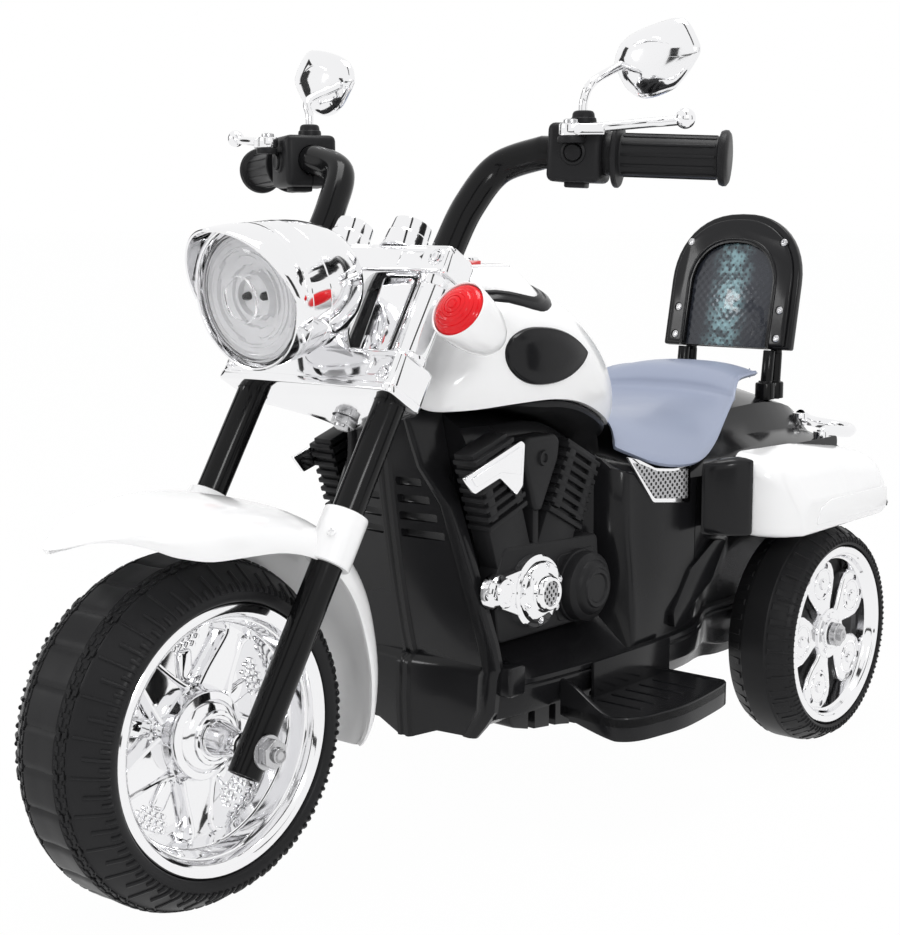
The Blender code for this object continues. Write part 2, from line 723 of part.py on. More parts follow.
head_tube = rod("head_tube", fork_point(0, STEER_TRAIL, lower_top_w + RUNNING_GAP),
                fork_point(0, STEER_TRAIL, UPPER_CLAMP_W - RUNNING_GAP), HEAD_TUBE_R, 20)
neck_low = fork_point(0, STEER_TRAIL, lower_top_w + NECK_CLEARANCE)
neck_high = fork_point(0, STEER_TRAIL, UPPER_CLAMP_W - NECK_CLEARANCE)
neck_throat = fork_point(0, STEER_TRAIL + 0.039, lower_top_w + NECK_CLEARANCE)
neck = plate("neck", [(neck_low.y, neck_low.z), (neck_high.y, neck_high.z), (0.262, 0.340),
                      (0.262, TANK_SEAT_Z + GAP), (0.208, TANK_SEAT_Z + GAP),
                      (neck_throat.y, neck_throat.z)], 2 * NECK_HALF, side_plane(-NECK_HALF))
weld(head_tube, neck)
carve(head_tube, rod("head_bore", fork_point(0, STEER_TRAIL, LOWER_CLAMP_W),
                     fork_point(0, STEER_TRAIL, UPPER_CLAMP_W + 0.03),
                     COLUMN_R + RUNNING_GAP, 16))
keep("head_tube", head_tube, "black_gloss")


# Headlight
lamp_at = frame_matrix(fork_point(0, -LAMP_AHEAD, LOWER_CLAMP_W + LAMP_LIFT), LAMP_FORWARD, LEFT)


def lamp_outside(clearance=0.0):
    grow = clearance
    return [(0.0, -LAMP_LEN - grow), (0.018, -LAMP_LEN + 0.006 - grow), (0.034, -0.074 - grow),
            (LAMP_R - 0.003 + grow, -0.046), (LAMP_R + grow, -0.014), (LAMP_R + grow, grow)]


def lamp_inside():
    return [(LAMP_R - 0.0022, 0.0), (LAMP_R - 0.0042, -0.007), (LAMP_R - 0.0050, -0.007),
            (LAMP_R - 0.0062, -0.044), (0.032, -0.070), (0.017, -0.084),
            (0.0, -LAMP_LEN + LAMP_WALL)]


lamp_shell = turned("headlight_shell", lamp_outside() + lamp_inside(), lamp_at, 20)
PEAK_SPREAD = 92
PEAK_STEPS = 8
rows = []
for share in (0.0, 0.5, 1.0):
    row = []
    for k in range(PEAK_STEPS + 1):
        aside = 1 - 2 * k / PEAK_STEPS
        angle = math.radians(90 + PEAK_SPREAD * aside)
        swell = math.cos(math.radians(90 * abs(aside))) ** 0.55
        reach = -0.008 + (PEAK_REACH * swell + 0.008) * share
        radius = LAMP_R - 0.0012 + 0.004 * share * (1 - share)
        row.append((radius * math.cos(angle), radius * math.sin(angle), reach))
    rows.append(row)
peak = loft("headlight_peak", rows, matrix=lamp_at)
thicken(peak, 0.0022, 0.0)
weld(lamp_shell, peak)
keep("headlight_shell", lamp_shell, "chrome", "steering")
lens = turned("headlight_lens", [(0.0, 0.0045), (0.020, 0.0035), (0.034, 0.0008),
                                 (LAMP_R - 0.0045, -0.0025), (LAMP_R - 0.0045, -0.0067),
                                 (0.0, -0.0067)], lamp_at, 20)
keep("headlight_lens", lens, "clear_lens", "steering")
lamp_bracket = box("headlight_bracket", (-0.024, -CLAMP_FRONT_V - BRACKET_REACH,
                                         lower_top_w - 0.010),
                   (0.024, -0.006, lower_top_w + 0.034), FORK_FRAME)
bevel(lamp_bracket, 0.002, 1)
lamp_room = turned("lamp_room", lamp_outside(GAP) + [(0.0, GAP)], lamp_at, 20)
carve(lamp_bracket, lamp_room)
weld(lower_clamp, lamp_bracket)
lower_screw_w = LOWER_CLAMP_W + LOWER_CLAMP_H * 0.4
for sign in (1, -1):
    start = -CLAMP_FRONT_V + 0.001
    weld(lower_clamp, rod(f"clamp_screw_{sign}", fork_point(CLAMP_SCREW_X * sign, start,
                                                            lower_screw_w),
                          fork_point(CLAMP_SCREW_X * sign, -CLAMP_FRONT_V - HEAD_RISE,
                                     lower_screw_w), SCREW_HEAD_R, 8))
keep("lower_clamp", lower_clamp, "chrome", "steering")


# Signals
signal_at = frame_matrix(fork_point(SIGNAL_X, SIGNAL_FRONT_V, SIGNAL_W), FORK_BACK * -1, LEFT)
cup = turned("signal_cup", [(0.0, -SIGNAL_LEN), (0.010, -SIGNAL_LEN + 0.001), (0.0155, -0.034),
                            (0.0195, -0.018), (SIGNAL_R, 0.0), (SIGNAL_LENS_R + GAP, 0.0),
                            (SIGNAL_LENS_R + GAP, -0.006), (SIGNAL_LENS_R - 0.003, -0.009),
                            (0.0, -0.012)], signal_at, 16)
stub_y = fork_point(0, SIGNAL_FRONT_V + 0.016, SIGNAL_W)
stub = rod("signal_stub", Vector((LEG_X + SLEEVE_R + 0.0004, stub_y.y, stub_y.z)),
           Vector((SIGNAL_X - 0.012, stub_y.y, stub_y.z)), 0.0060, 10)
weld(cup, stub)
keep_sides("signal_cup", cup, "white_gloss", "steering")
red = turned("signal_lens", [(0.0, 0.0075), (0.0095, 0.0060), (0.0160, 0.0015),
                             (SIGNAL_LENS_R, -0.0025), (SIGNAL_LENS_R, -0.0057),
                             (0.0, -0.0057)], signal_at, 16)
keep_sides("signal_lens", red, "red_lens", "steering")


# Handlebar, grips, housings, levers, mirrors and buttons
bar_bend = smooth_route([fork_point(BAR_SOCKET_X, 0, UPPER_CLAMP_W + 0.0065),
                         fork_point(BAR_SOCKET_X, 0, upper_top_w + 0.005),
                         (0.0640, 0.2035, 0.4400), (0.0745, 0.2225, 0.4650),
                         BAR_GRIP - GRIP_LINE * STRAIGHT_START])
bar = tube("handlebar_left", [*bar_bend, BAR_END], BAR_R, 3, smooth=False)
keep_sides("handlebar", bar, "black_gloss", "steering")

grip_at = frame_matrix(BAR_GRIP, GRIP_LINE, UP)
grip_len = (BAR_END - BAR_GRIP).length
grip = turned("grip", [(0.0, grip_len + 0.004), (GRIP_FLANGE_R - 0.002, grip_len + 0.004),
                       (GRIP_FLANGE_R, grip_len + 0.001), (GRIP_R, grip_len - 0.002),
                       (GRIP_R, 0.004), (GRIP_GUARD_R, 0.003),
                       (GRIP_GUARD_R, 0.0), (BAR_R + BORE_ROOM, 0.0),
                       (BAR_R + BORE_ROOM, grip_len + 2 * GAP),
                       (0.0, grip_len + 2 * GAP)], grip_at, 12)

housing_at = Matrix.Translation(HOUSING_MID) @ Matrix(
    (GRIP_LINE, -GRIP_FORE, GRIP_LINE.cross(-GRIP_FORE))).transposed().to_4x4()
housing = box("switch_housing", (-HOUSING_LEN / 2, -HOUSING_D / 2, -HOUSING_H / 2),
              (HOUSING_LEN / 2, HOUSING_D / 2, HOUSING_H / 2), housing_at)
bevel(housing, 0.004, 1)
boot_foot = MIRROR_FOOT - UP * (BOOT_H + 0.006)
boot = rod("mirror_boot", boot_foot, MIRROR_FOOT, BOOT_R, 12, BOOT_R - 0.0006)
ear_low = rod("lever_ear", LEVER_ROOT - UP * (LEVER_T / 2 + GAP + 0.004),
              LEVER_ROOT - UP * (LEVER_T / 2 + GAP), 0.0085, 12)
ear_web = box("lever_ear_web", (-0.0080, -0.024, 0.0065), (0.0080, -0.012, 0.0103), housing_at)
pin = rod("lever_pin", LEVER_ROOT - UP * 0.006, LEVER_ROOT + UP * (LEVER_T / 2 + GAP + 0.0015),
          0.0026, 8)
pin_head = rod("lever_pin_head", LEVER_ROOT + UP * (LEVER_T / 2 + GAP),
               LEVER_ROOT + UP * (LEVER_T / 2 + GAP + 0.0025), 0.0050, 8)
neck_piece = rod("grip_neck", HOUSING_MID, BAR_GRIP + GRIP_LINE * 0.001, GRIP_R)
weld(housing, boot, ear_web, ear_low, pin, pin_head, neck_piece, grip)
carve(housing, rod("bar_room", BAR_GRIP - GRIP_LINE * STRAIGHT_START,
                   BAR_GRIP + GRIP_LINE * 0.004, BAR_R + BORE_ROOM + 0.0006))
stem_room = rod("stem_room", MIRROR_FOOT - UP * 0.0092, MIRROR_FOOT + UP * 0.01,
                STEM_R + STEM_ROOM, 12)
carve(housing, stem_room)
button_room = rod("button_room", HOUSING_MID + GRIP_FORE * (HOUSING_D / 2 - 0.0065),
                  HOUSING_MID + GRIP_FORE * (HOUSING_D / 2 + 0.01), BUTTON_R + GAP, 16)
carve(housing, button_room)
keep_sides("hand_grip", housing, "black_satin", "steering")

lever_line = (LEVER_TIP - LEVER_ROOT).normalized()
lever = tube("brake_lever", [LEVER_ROOT + lever_line * 0.0165, LEVER_ROOT + lever_line * 0.030,
                             LEVER_ROOT + lever_line * 0.052 + GRIP_FORE * 0.002,
                             LEVER_TIP - lever_line * 0.012, LEVER_TIP], 0.0038, 2)
hub = rod("lever_hub", LEVER_ROOT - UP * LEVER_T / 2, LEVER_ROOT + UP * LEVER_T / 2, 0.0075, 12)
arm_at = frame_matrix(LEVER_ROOT, UP, GRIP_LINE)
arm = box("lever_arm", (0.0, -0.0042, -LEVER_T / 2), (0.0205, 0.0042, LEVER_T / 2), arm_at)
weld(lever, arm, hub, ball("lever_ball", LEVER_TIP, LEVER_BALL_R))
carve(lever, rod("lever_bore", LEVER_ROOT - UP * 0.02, LEVER_ROOT + UP * 0.02, 0.0030, 8))

# The mirror's outline from the front, clockwise from its inner corner, as (outwards, up)
MIRROR_OUTLINE = ((-0.0304, -0.0030), (-0.0286, 0.0045), (-0.0243, 0.0110), (-0.0150, 0.0165),
                  (0.0000, 0.0210), (0.0167, 0.0237), (0.0245, 0.0208), (0.0309, 0.0122),
                  (0.0354, 0.0026), (0.0323, -0.0054), (0.0239, -0.0165), (0.0151, -0.0236),
                  (-0.0037, -0.0283), (-0.0177, -0.0226), (-0.0275, -0.0094))
MIRROR_SLICES = ((0.0015, 0.93), (0.0, 0.95), (0.0, 1.0), (0.0040, 0.97), (0.0085, 0.72),
                 (MIRROR_T, 0.30))
mirror_turn = frame_matrix(MIRROR_MID, Vector((0.03, -1.0, 0.10)), LEFT)
shell = loft("mirror_shell", [[(x * size, y * size, rise) for x, y in MIRROR_OUTLINE]
                              for rise, size in MIRROR_SLICES],
             closed=True, capped=BOTH_ENDS, matrix=mirror_turn)
stem = tube("mirror_stem", [MIRROR_FOOT - UP * 0.0085, MIRROR_FOOT + UP * 0.006,
                            MIRROR_FOOT + Vector((0.0045, 0.0040, 0.0185)),
                            MIRROR_MID + Vector((-0.0210, -0.0095, -0.0055)),
                            MIRROR_MID + Vector((-0.0080, -0.0080, -0.0010))], STEM_R, 2)
weld(shell, stem)
cap = rod("button", HOUSING_MID + GRIP_FORE * (HOUSING_D / 2 - 0.0040),
          HOUSING_MID + GRIP_FORE * (HOUSING_D / 2 + 0.0030), BUTTON_R, 16)
bevel(cap, 0.0008, 1)
keep_sides("brake_lever", lever, "chrome", "lever_")
keep_sides("mirror", shell, "chrome", "mirror_")
keep_sides("handlebar_button", cap, "black_satin", "button_")


# Body shells: half sections from the keel out to the side and up to the top
# Each row: Y, then X and Z of ten points
def body_row(y, keel, floor, sill, recess, side, deck, shoulder, crown, top):
    """A half section that runs a little past the middle. floor and the rest are (x, z)."""
    low, high = sill
    return [Vector((x, y, z)) for x, z in ((-SEAM_RUN, keel), floor, low, high, recess, side,
                                           deck, shoulder, crown, (-SEAM_RUN, top))]


BODY_ROWS = (
    body_row(BODY_FRONT_Y, 0.064, (0.060, 0.074), ((0.078, 0.084), (0.080, 0.110)),
             (RECESS_X, 0.128), (RECESS_X, 0.200), (RECESS_X - 0.004, 0.268), (0.044, 0.287),
             (0.022, TANK_SEAT_Z), TANK_SEAT_Z),
    body_row(0.245, 0.066, (0.064, 0.076), ((0.090, 0.087), (0.092, 0.112)),
             (RECESS_X, 0.132), (RECESS_X, 0.200), (RECESS_X, 0.268), (0.048, 0.287),
             (0.024, TANK_SEAT_Z), TANK_SEAT_Z),
    body_row(0.300, 0.070, (0.066, 0.079), ((0.095, 0.090), (0.097, 0.112)),
             (RECESS_X, 0.134), (RECESS_X, 0.200), (RECESS_X, 0.264), (0.050, 0.285),
             (0.025, 0.287), 0.287),
    body_row(0.346, 0.078, (0.070, 0.083), ((0.098, 0.092), (0.0995, 0.112)),
             (RECESS_X, 0.136), (RECESS_X, 0.200), (RECESS_X, 0.250), (0.050, 0.264),
             (0.025, 0.266), 0.266),
    body_row(0.366, FLOOR_Z, (0.085, FLOOR_Z), ((0.0985, 0.092), (0.0995, 0.112)),
             (0.094, 0.140), (0.088, 0.195), (0.087, 0.244), (0.060, 0.252), (0.030, 0.254), 0.254),
    body_row(0.400, FLOOR_Z, (0.088, FLOOR_Z), ((0.0990, 0.092), (0.0995, 0.112)),
             (0.098, 0.145), (0.0955, 0.190), (0.0945, 0.237), (0.080, 0.244), (0.035, 0.251),
             0.251),
    body_row(0.445, FLOOR_Z, (0.086, FLOOR_Z), ((0.0970, 0.092), (0.0985, 0.115)),
             (0.098, 0.150), (0.0990, 0.190), (0.1010, DECK_Z - 0.003), (0.085, 0.246),
             (0.040, 0.260), 0.263),
    body_row(0.478, FLOOR_Z, (0.080, FLOOR_Z), ((0.0850, 0.092), (0.0870, 0.120)),
             (0.088, 0.165), (0.0990, 0.190), (0.1030, DECK_Z), (0.080, 0.249),
             (0.042, 0.264), 0.268),
    body_row(0.515, AXLE_BAY_Z, (0.074, AXLE_BAY_Z), ((0.0820, 0.084), (0.0850, 0.120)),
             (0.087, 0.178), (0.0995, 0.191), (0.1035, DECK_Z), (0.072, 0.251),
             (0.046, 0.266), 0.272),
    body_row(0.560, AXLE_BAY_Z, (0.074, AXLE_BAY_Z), ((0.0820, 0.084), (0.0850, 0.120)),
             (0.087, 0.184), (0.0995, 0.192), (0.1035, DECK_Z), (0.068, 0.252),
             (0.050, 0.272), 0.283),
    body_row(0.620, AXLE_BAY_Z, (0.074, AXLE_BAY_Z), ((0.0820, 0.084), (0.0850, 0.120)),
             (0.087, 0.184), (0.0995, 0.192), (0.1035, DECK_Z), (0.066, 0.251),
             (0.052, 0.274), 0.286),
    body_row(0.672, 0.082, (0.070, 0.084), ((0.0800, 0.096), (0.0830, 0.125)),
             (0.085, 0.180), (0.0960, 0.192), (0.1000, DECK_Z - 0.004), (0.062, 0.247),
             (0.048, 0.266), 0.277),
    body_row(0.704, 0.110, (0.058, 0.112), ((0.0720, 0.120), (0.0760, 0.140)),
             (0.078, 0.178), (0.0860, 0.190), (0.0880, 0.220), (0.054, 0.236),
             (0.040, 0.248), 0.256),
    body_row(BODY_REAR_Y, 0.140, (0.040, 0.142), ((0.0540, 0.146), (0.0580, 0.156)),
             (0.060, 0.176), (0.0640, 0.186), (0.0660, 0.206), (0.042, 0.218),
             (0.026, 0.226), 0.230),
)


def body_top(x, y):
    """The height of the body's top surface at a place."""
    table = []
    for row in BODY_ROWS:
        crest = list(reversed(row[6:]))
        height = crest[-1].z
        for a, b in zip(crest, crest[1:]):
            if a.x <= abs(x) <= b.x:
                height = a.z + (b.z - a.z) * (abs(x) - a.x) / max(b.x - a.x, 1e-9)
        table.append((row[0].y, height))
    return blend(table, y)[0]


def seat_on_body(x, y, reach):
    """The lowest height at which a flat foot of the given radius clears the body."""
    around = arc((x, y), reach * 1.1, 0, 330, 11)
    return max(body_top(*place) for place in [(x, y), *around]) + GAP


body = loft("body_left", BODY_ROWS, capped=(-1,))
thicken(body, SHELL_WALL)
carve(body, box("seam_cut", (-0.05, 0.10, 0.0), (SEAM_GAP / 2, 0.80, 0.40)))
carve(body, rod("axle_opening", REAR_AXLE, REAR_AXLE + LEFT * 0.12, AXLE_R + 0.0006, 14))

# Each body shell carries a side grille and the base of a saddlebag
GRILLE_FRONT = Vector((0.0855, 0.360, 0))
GRILLE_REAR = Vector((0.0995, 0.432, 0))
grille_line = GRILLE_REAR - GRILLE_FRONT
grille_at = frame_matrix(GRILLE_FRONT, grille_line.cross(UP), grille_line)
grille = plate("seat_grille", [(0.0, 0.2560), (0.028, 0.2190), (0.068, 0.2150), (0.068, 0.2440),
                               (0.050, 0.2430), (0.030, 0.2450), (0.012, 0.2530)], 0.0025,
               grille_at)
BAG_INNER_X = 0.0975
NOSE_REAR_Y = 0.4565
bag_base = loft("saddlebag_base", [
    [(x, y0, low), (x, y0, high), (x, 0.632, high), (x, 0.632, low)]
    for x, y0, low, high in ((BAG_INNER_X, 0.448, 0.194, 0.234), (0.1040, 0.446, 0.192, 0.236),
                             (0.1100, 0.430, 0.190, 0.247), (0.1180, 0.436, 0.189, 0.249))],
                closed=True, capped=BOTH_ENDS)
bag_nose = loft("saddlebag_nose", [
    [(x, y0, low), (x, y0, high), (x, NOSE_REAR_Y, high + 0.002), (x, NOSE_REAR_Y, low)]
    for x, y0, low, high in ((0.112, 0.430, 0.190, 0.247), (0.128, 0.438, 0.189, 0.249),
                             (0.138, 0.449, 0.189, 0.247))], closed=True, capped=BOTH_ENDS)
weld(body, grille, bag_base, bag_nose)
keep_sides("body", body, "black_gloss")


# Radiator cover: a shallow wedge with louvres, in front of the body shells
# Each row: Z, ridge Y, edge X, edge Y, how far the side returns
RADIATOR_ROWS = (
    (0.300, 0.1800, 0.028, 0.1815, 0.2172),
    (0.262, 0.1865, 0.037, 0.1890, 0.2172),
    (0.236, 0.1900, 0.055, 0.1960, 0.2060),
    (0.185, 0.1985, 0.069, 0.2035, 0.2110),
    (0.140, 0.2080, 0.083, 0.2085, 0.2140),
    (0.120, 0.2135, 0.085, 0.2120, 0.2172),
    (0.114, 0.2060, 0.083, 0.2100, 0.2172),
    (0.090, 0.2050, 0.080, 0.2110, 0.2172),
    (0.068, 0.2070, 0.062, 0.2130, 0.2172),
)
RADIATOR_WALL = 0.003
rings = []
for z, ridge, edge_x, edge_y, back in RADIATOR_ROWS:
    keel_z = z if z > 0.08 else z - 0.008
    half = [(0.0, ridge, keel_z), (edge_x * 0.12, ridge + 0.0008, keel_z),
            (edge_x * 0.86, edge_y - 0.0005, z), (edge_x, edge_y + 0.002, z), (edge_x, back, z)]
    rings.append([(-x, y, h) for x, y, h in reversed(half[1:])] + half)
radiator = loft("radiator_cover", rings)
thicken(radiator, RADIATOR_WALL)
LOUVRES = 4
for k in range(LOUVRES):
    z = 0.250 - 0.0125 * k
    y, edge = (0.184 + 0.0022 * k), 0.031 + 0.0052 * k
    for sign in (1, -1):
        low_x, high_x = sorted((sign * 0.007, sign * edge))
        carve(radiator, box(f"louvre_{k}_{sign}", (low_x, y - 0.012, z - 0.0028),
                            (high_x, y + 0.016, z + 0.0028)))
keep("radiator_cover", radiator, "black_gloss")


# Engine: a finned V-twin block on each side, with its covers
ENGINE_X = RECESS_X + GAP
ENGINE_FACE_X = ENGINE_X + ENGINE_DEPTH


def finned_barrel(name, foot, head, width, fins):
    """A barrel whose outer face has fins across it, from foot to head in the side plane."""
    foot, head = Vector(foot), Vector(head)
    run = head - foot
    length = run.length
    outline = [(0.0, 0.0), (0.0, ENGINE_DEPTH - FIN_DEPTH)]
    start = length - fins * FIN_PITCH
    for k in range(fins):
        s = start + k * FIN_PITCH
        outline += [(s, ENGINE_DEPTH - FIN_DEPTH), (s, ENGINE_DEPTH),
                    (s + FIN_PITCH * 0.62, ENGINE_DEPTH),
                    (s + FIN_PITCH * 0.62, ENGINE_DEPTH - FIN_DEPTH)]
    outline += [(length, ENGINE_DEPTH - FIN_DEPTH), (length, 0.0)]
    up = Vector((0, run.x, run.y)).normalized()
    across = up.cross(LEFT)
    place = Vector((ENGINE_X, foot.x, foot.y)) - across * width / 2
    return plate(name, outline, width, frame_matrix(place, across, up))


crankcase = plate("engine", [(0.222, 0.137), (0.216, 0.178), (0.228, 0.205), (0.340, 0.200),
                             (0.345, 0.150), (0.340, 0.137)], ENGINE_DEPTH - 0.003,
                  side_plane(ENGINE_X))
front_barrel = finned_barrel("front_barrel", (0.2425, 0.190), (0.2125, 0.2790), 0.044, 6)
rear_barrel = finned_barrel("rear_barrel", (0.283, 0.190), (0.3210, 0.2660), 0.044, 6)
air_cover = plate("air_cover", [(0.262, 0.232)] + arc((0.2655, 0.232), 0.006, 200, 340, 4)
                  + [(0.2885, 0.262), (0.290, 0.275), (0.2845, 0.280), (0.252, 0.280),
                     (0.247, 0.275), (0.248, 0.262)], ENGINE_DEPTH - 0.001, side_plane(ENGINE_X))
bevel(air_cover, 0.003, 1)
air_stem = box("air_stem", (ENGINE_X, 0.2620, 0.190),
               (ENGINE_X + ENGINE_DEPTH - 0.004, 0.2690, 0.236))
engine = weld(crankcase, front_barrel, rear_barrel, air_stem, air_cover)
carve(engine, box("under_tray_room", (0, 0.15, 0.2800), (0.2, 0.40, 0.34)))

HEAD_X = ENGINE_FACE_X + GAP
wedge = plate("head_cover", [(0.1775, 0.2600), (0.2385, 0.2795), (0.2425, 0.2770),
                             (0.2405, 0.2480), (0.2335, 0.2420), (0.2150, 0.2560),
                             (0.1880, 0.2480)], 0.004, side_plane(HEAD_X))
bevel(wedge, 0.0012, 1)
keep_sides("head_cover", wedge, "chrome")

GEAR_AT = Vector((0, 0.2580, 0.1700))
CAP_AT = Vector((0, 0.2140, 0.1765))
case_face = ENGINE_X + ENGINE_DEPTH - 0.003 + GAP


def cover_place(at, x):
    return frame_matrix((x, at.y, at.z), LEFT, BACK)


gear = turned("gear_cover", [(0.0, GEAR_COVER_T), (0.0110, GEAR_COVER_T),
                             (0.0125, GEAR_COVER_T - 0.002), (0.0135, GEAR_COVER_T - 0.005),
                             (0.0215, GEAR_COVER_T - 0.007), (GEAR_COVER_R, 0.008),
                             (GEAR_COVER_R, 0.0), (0.0, 0.0)], cover_place(GEAR_AT, case_face), 18)
arm = plate("gear_arm", [(0.2130, 0.1655), (0.2520, 0.1500), (0.2560, 0.1900), (0.2150, 0.1860)],
            0.007, side_plane(case_face))
gear_cap = rod("gear_cap", (case_face, CAP_AT.y, CAP_AT.z), (case_face + 0.014, CAP_AT.y, CAP_AT.z),
               0.0125, 14, 0.0105)
weld(gear, arm, gear_cap)
keep_sides("gear_cover", gear, "chrome")
ROUND_AT = Vector((0, 0.3140, 0.1650))
round_cover = turned("round_cover", [(0.0, ROUND_COVER_T), (0.014, ROUND_COVER_T),
                                     (0.019, ROUND_COVER_T - 0.002),
                                     (ROUND_COVER_R, ROUND_COVER_T - 0.008),
                                     (ROUND_COVER_R, -0.002), (0.0, -0.002)],
                     cover_place(ROUND_AT, case_face), 18)
weld(engine, round_cover)
keep_sides("engine", engine, "black_satin")


# Footboards
board_edge = [(BOARD_INNER_X, BOARD_REAR_Y), (0.1500, BOARD_REAR_Y), (0.1555, 0.3960),
              (0.1600, 0.3756), (BOARD_OUTER_X, 0.3275), (0.1625, 0.2960), (0.1580, 0.2760),
              (0.1500, 0.2660), (0.1400, BOARD_FRONT_Y), (0.1250, BOARD_FRONT_Y + 0.0008),
              (0.1100, BOARD_FRONT_Y + 0.0030), (BOARD_STEP_X, BOARD_FRONT_Y + 0.0055)]
board = plate("footboard", board_edge, BOARD_FLOOR_T,
              Matrix.Translation((0, 0, BOARD_FLOOR_Z)))
rim_rings = []
edge_points = [Vector((x, y, 0)) for x, y in board_edge[1:]]
for k, place in enumerate(edge_points):
    before = edge_points[max(k - 1, 0)]
    after = edge_points[min(k + 1, len(edge_points) - 1)]
    inward = (after - before).cross(UP).normalized() * BOARD_RIM_T
    if k == 0:
        inward = Vector((0, -BOARD_RIM_T, 0))
    if k == len(edge_points) - 1:
        inward = Vector((0, BOARD_RIM_T, 0))
    rise = 0.0
    if place.y < BOARD_FRONT_Y + 0.006:
        rise = max(0.0, min(1.0, (0.146 - place.x) / (0.146 - BOARD_STEP_X)))
    top = BOARD_RIM_TOP_Z + (BOARD_STEP_Z - BOARD_RIM_TOP_Z) * rise * rise * (3 - 2 * rise)
    low = BOARD_RIM_LOW_Z + BOARD_STEP_LOW * rise
    rim_rings.append([place + UP * low, place + UP * top, place + inward + UP * top,
                      place + inward + UP * low])
rear_inner = Vector((BOARD_INNER_X, BOARD_REAR_Y, 0))
rim_rings.insert(0, [rear_inner + UP * BOARD_RIM_LOW_Z, rear_inner + UP * BOARD_RIM_TOP_Z,
                     rear_inner + Vector((0, -BOARD_RIM_T, BOARD_RIM_TOP_Z)),
                     rear_inner + Vector((0, -BOARD_RIM_T, BOARD_RIM_LOW_Z))])
board_flange = box("board_flange", (BOARD_INNER_X, 0.300, BOARD_FLOOR_Z),
                   (BOARD_INNER_X + BOARD_FLANGE_T, BOARD_REAR_Y - 0.002, BOARD_FLANGE_TOP_Z))
weld(board, loft("board_rim", rim_rings, closed=True, capped=BOTH_ENDS), board_flange)
keep_sides("footboard", board, "black_gloss")

PEDAL_W = 0.036
PEDAL_L = 0.078
pedal_x = PEDAL_HEEL.x
pedal = plate("foot_pedal", [(0.004, -0.0035), (0.004, 0.0010), (0.0, 0.0022),
                             (-PEDAL_L, 0.0125), (-PEDAL_L, 0.0085), (-0.004, -0.0020)],
              PEDAL_W, frame_matrix((pedal_x - PEDAL_W / 2, PEDAL_HEEL.y, PEDAL_HEEL.z),
                                    LEFT, BACK))
keep("foot_pedal", pedal, "black_satin", "foot_pedal")


# Tank, its trim, badges, console and dash
# Each row: Y, half width, lowest Z, highest Z
TANK_ROWS = (
    (0.186, 0.046, 0.3020, 0.3260),
    (0.192, 0.058, 0.3010, 0.3420),
    (0.212, 0.070, 0.3015, 0.3680),
    (0.240, 0.082, 0.3040, 0.3875),
    (0.275, 0.089, 0.3050, 0.3920),
    (0.305, 0.089, 0.3010, 0.3850),
    (0.335, 0.083, 0.2920, 0.3690),
    (0.362, 0.072, 0.2820, 0.3470),
    (0.386, 0.054, 0.2745, 0.3200),
    (0.402, 0.034, 0.2720, 0.3000),
)
WIDEST = 0.28


def tank_section(y, arcs=5):
    """Half a section, from the lower edge over the side to the top."""
    half, low, high = blend(TANK_ROWS, y)
    waist = low + (high - low) * WIDEST
    points = [(half * 0.90, low), (half * 0.975, low + (waist - low) * 0.45)]
    for k in range(arcs + 1):
        angle = math.pi / 2 * k / arcs
        points.append((half * max(math.cos(angle), 0.0) ** 0.82,
                       waist + (high - waist) * math.sin(angle) ** 0.92))
    return points


def tank_height(x, y):
    half, low, high = blend(TANK_ROWS, y)
    waist = low + (high - low) * WIDEST
    share = min(abs(x) / half, 1.0) ** (1 / 0.82)
    return waist + (high - waist) * math.sqrt(max(1 - share ** 2, 0.0)) ** 0.92


def tank_ring(y):
    side = tank_section(y)
    return ([Vector((x, y, z)) for x, z in side]
            + [Vector((-x, y, z)) for x, z in reversed(side[:-1])])


first, last = TANK_ROWS[0][0], TANK_ROWS[-1][0]
tank_rings = [tank_ring(row[0]) for row in TANK_ROWS]
nose = [Vector((p.x * 0.6, first - 0.0035, tank_rings[0][0].z + (p.z - tank_rings[0][0].z) * 0.6))
        for p in tank_rings[0]]
tail = [Vector((p.x * 0.6, last + 0.005, tank_rings[-1][0].z + (p.z - tank_rings[-1][0].z) * 0.6))
        for p in tank_rings[-1]]
tank = loft("tank_shell", [nose, *tank_rings, tail], capped=BOTH_ENDS)
thicken(tank, TANK_WALL)
carve(tank, box("neck_room", (-NECK_HALF - 0.009, 0.10, 0.25),
                (NECK_HALF + 0.009, 0.222, 0.45)))
trim_rings = []
for y in (0.2185, 0.245, 0.272, 0.300, 0.320, 0.346, 0.366, 0.380):
    half, low, _ = blend(TANK_ROWS, y)
    under = body_top(0.0, y) + GAP
    wide, narrow = half * 0.90 - 0.001, half * 0.78
    top = low - GAP
    trim_rings.append([(-wide, y, top), (wide, y, top), (narrow, y, max(top - 0.010, under)),
                       (RECESS_X - 0.010, y, under), (-RECESS_X + 0.010, y, under),
                       (-narrow, y, max(top - 0.010, under))])
trim = loft("tank_trim", trim_rings, closed=True, capped=BOTH_ENDS)
carve(trim, box("trim_neck_room", (-NECK_HALF - GAP, 0.15, 0.25),
                (NECK_HALF + GAP, 0.2623, 0.35)))
keep("tank_trim", trim, "black_satin")

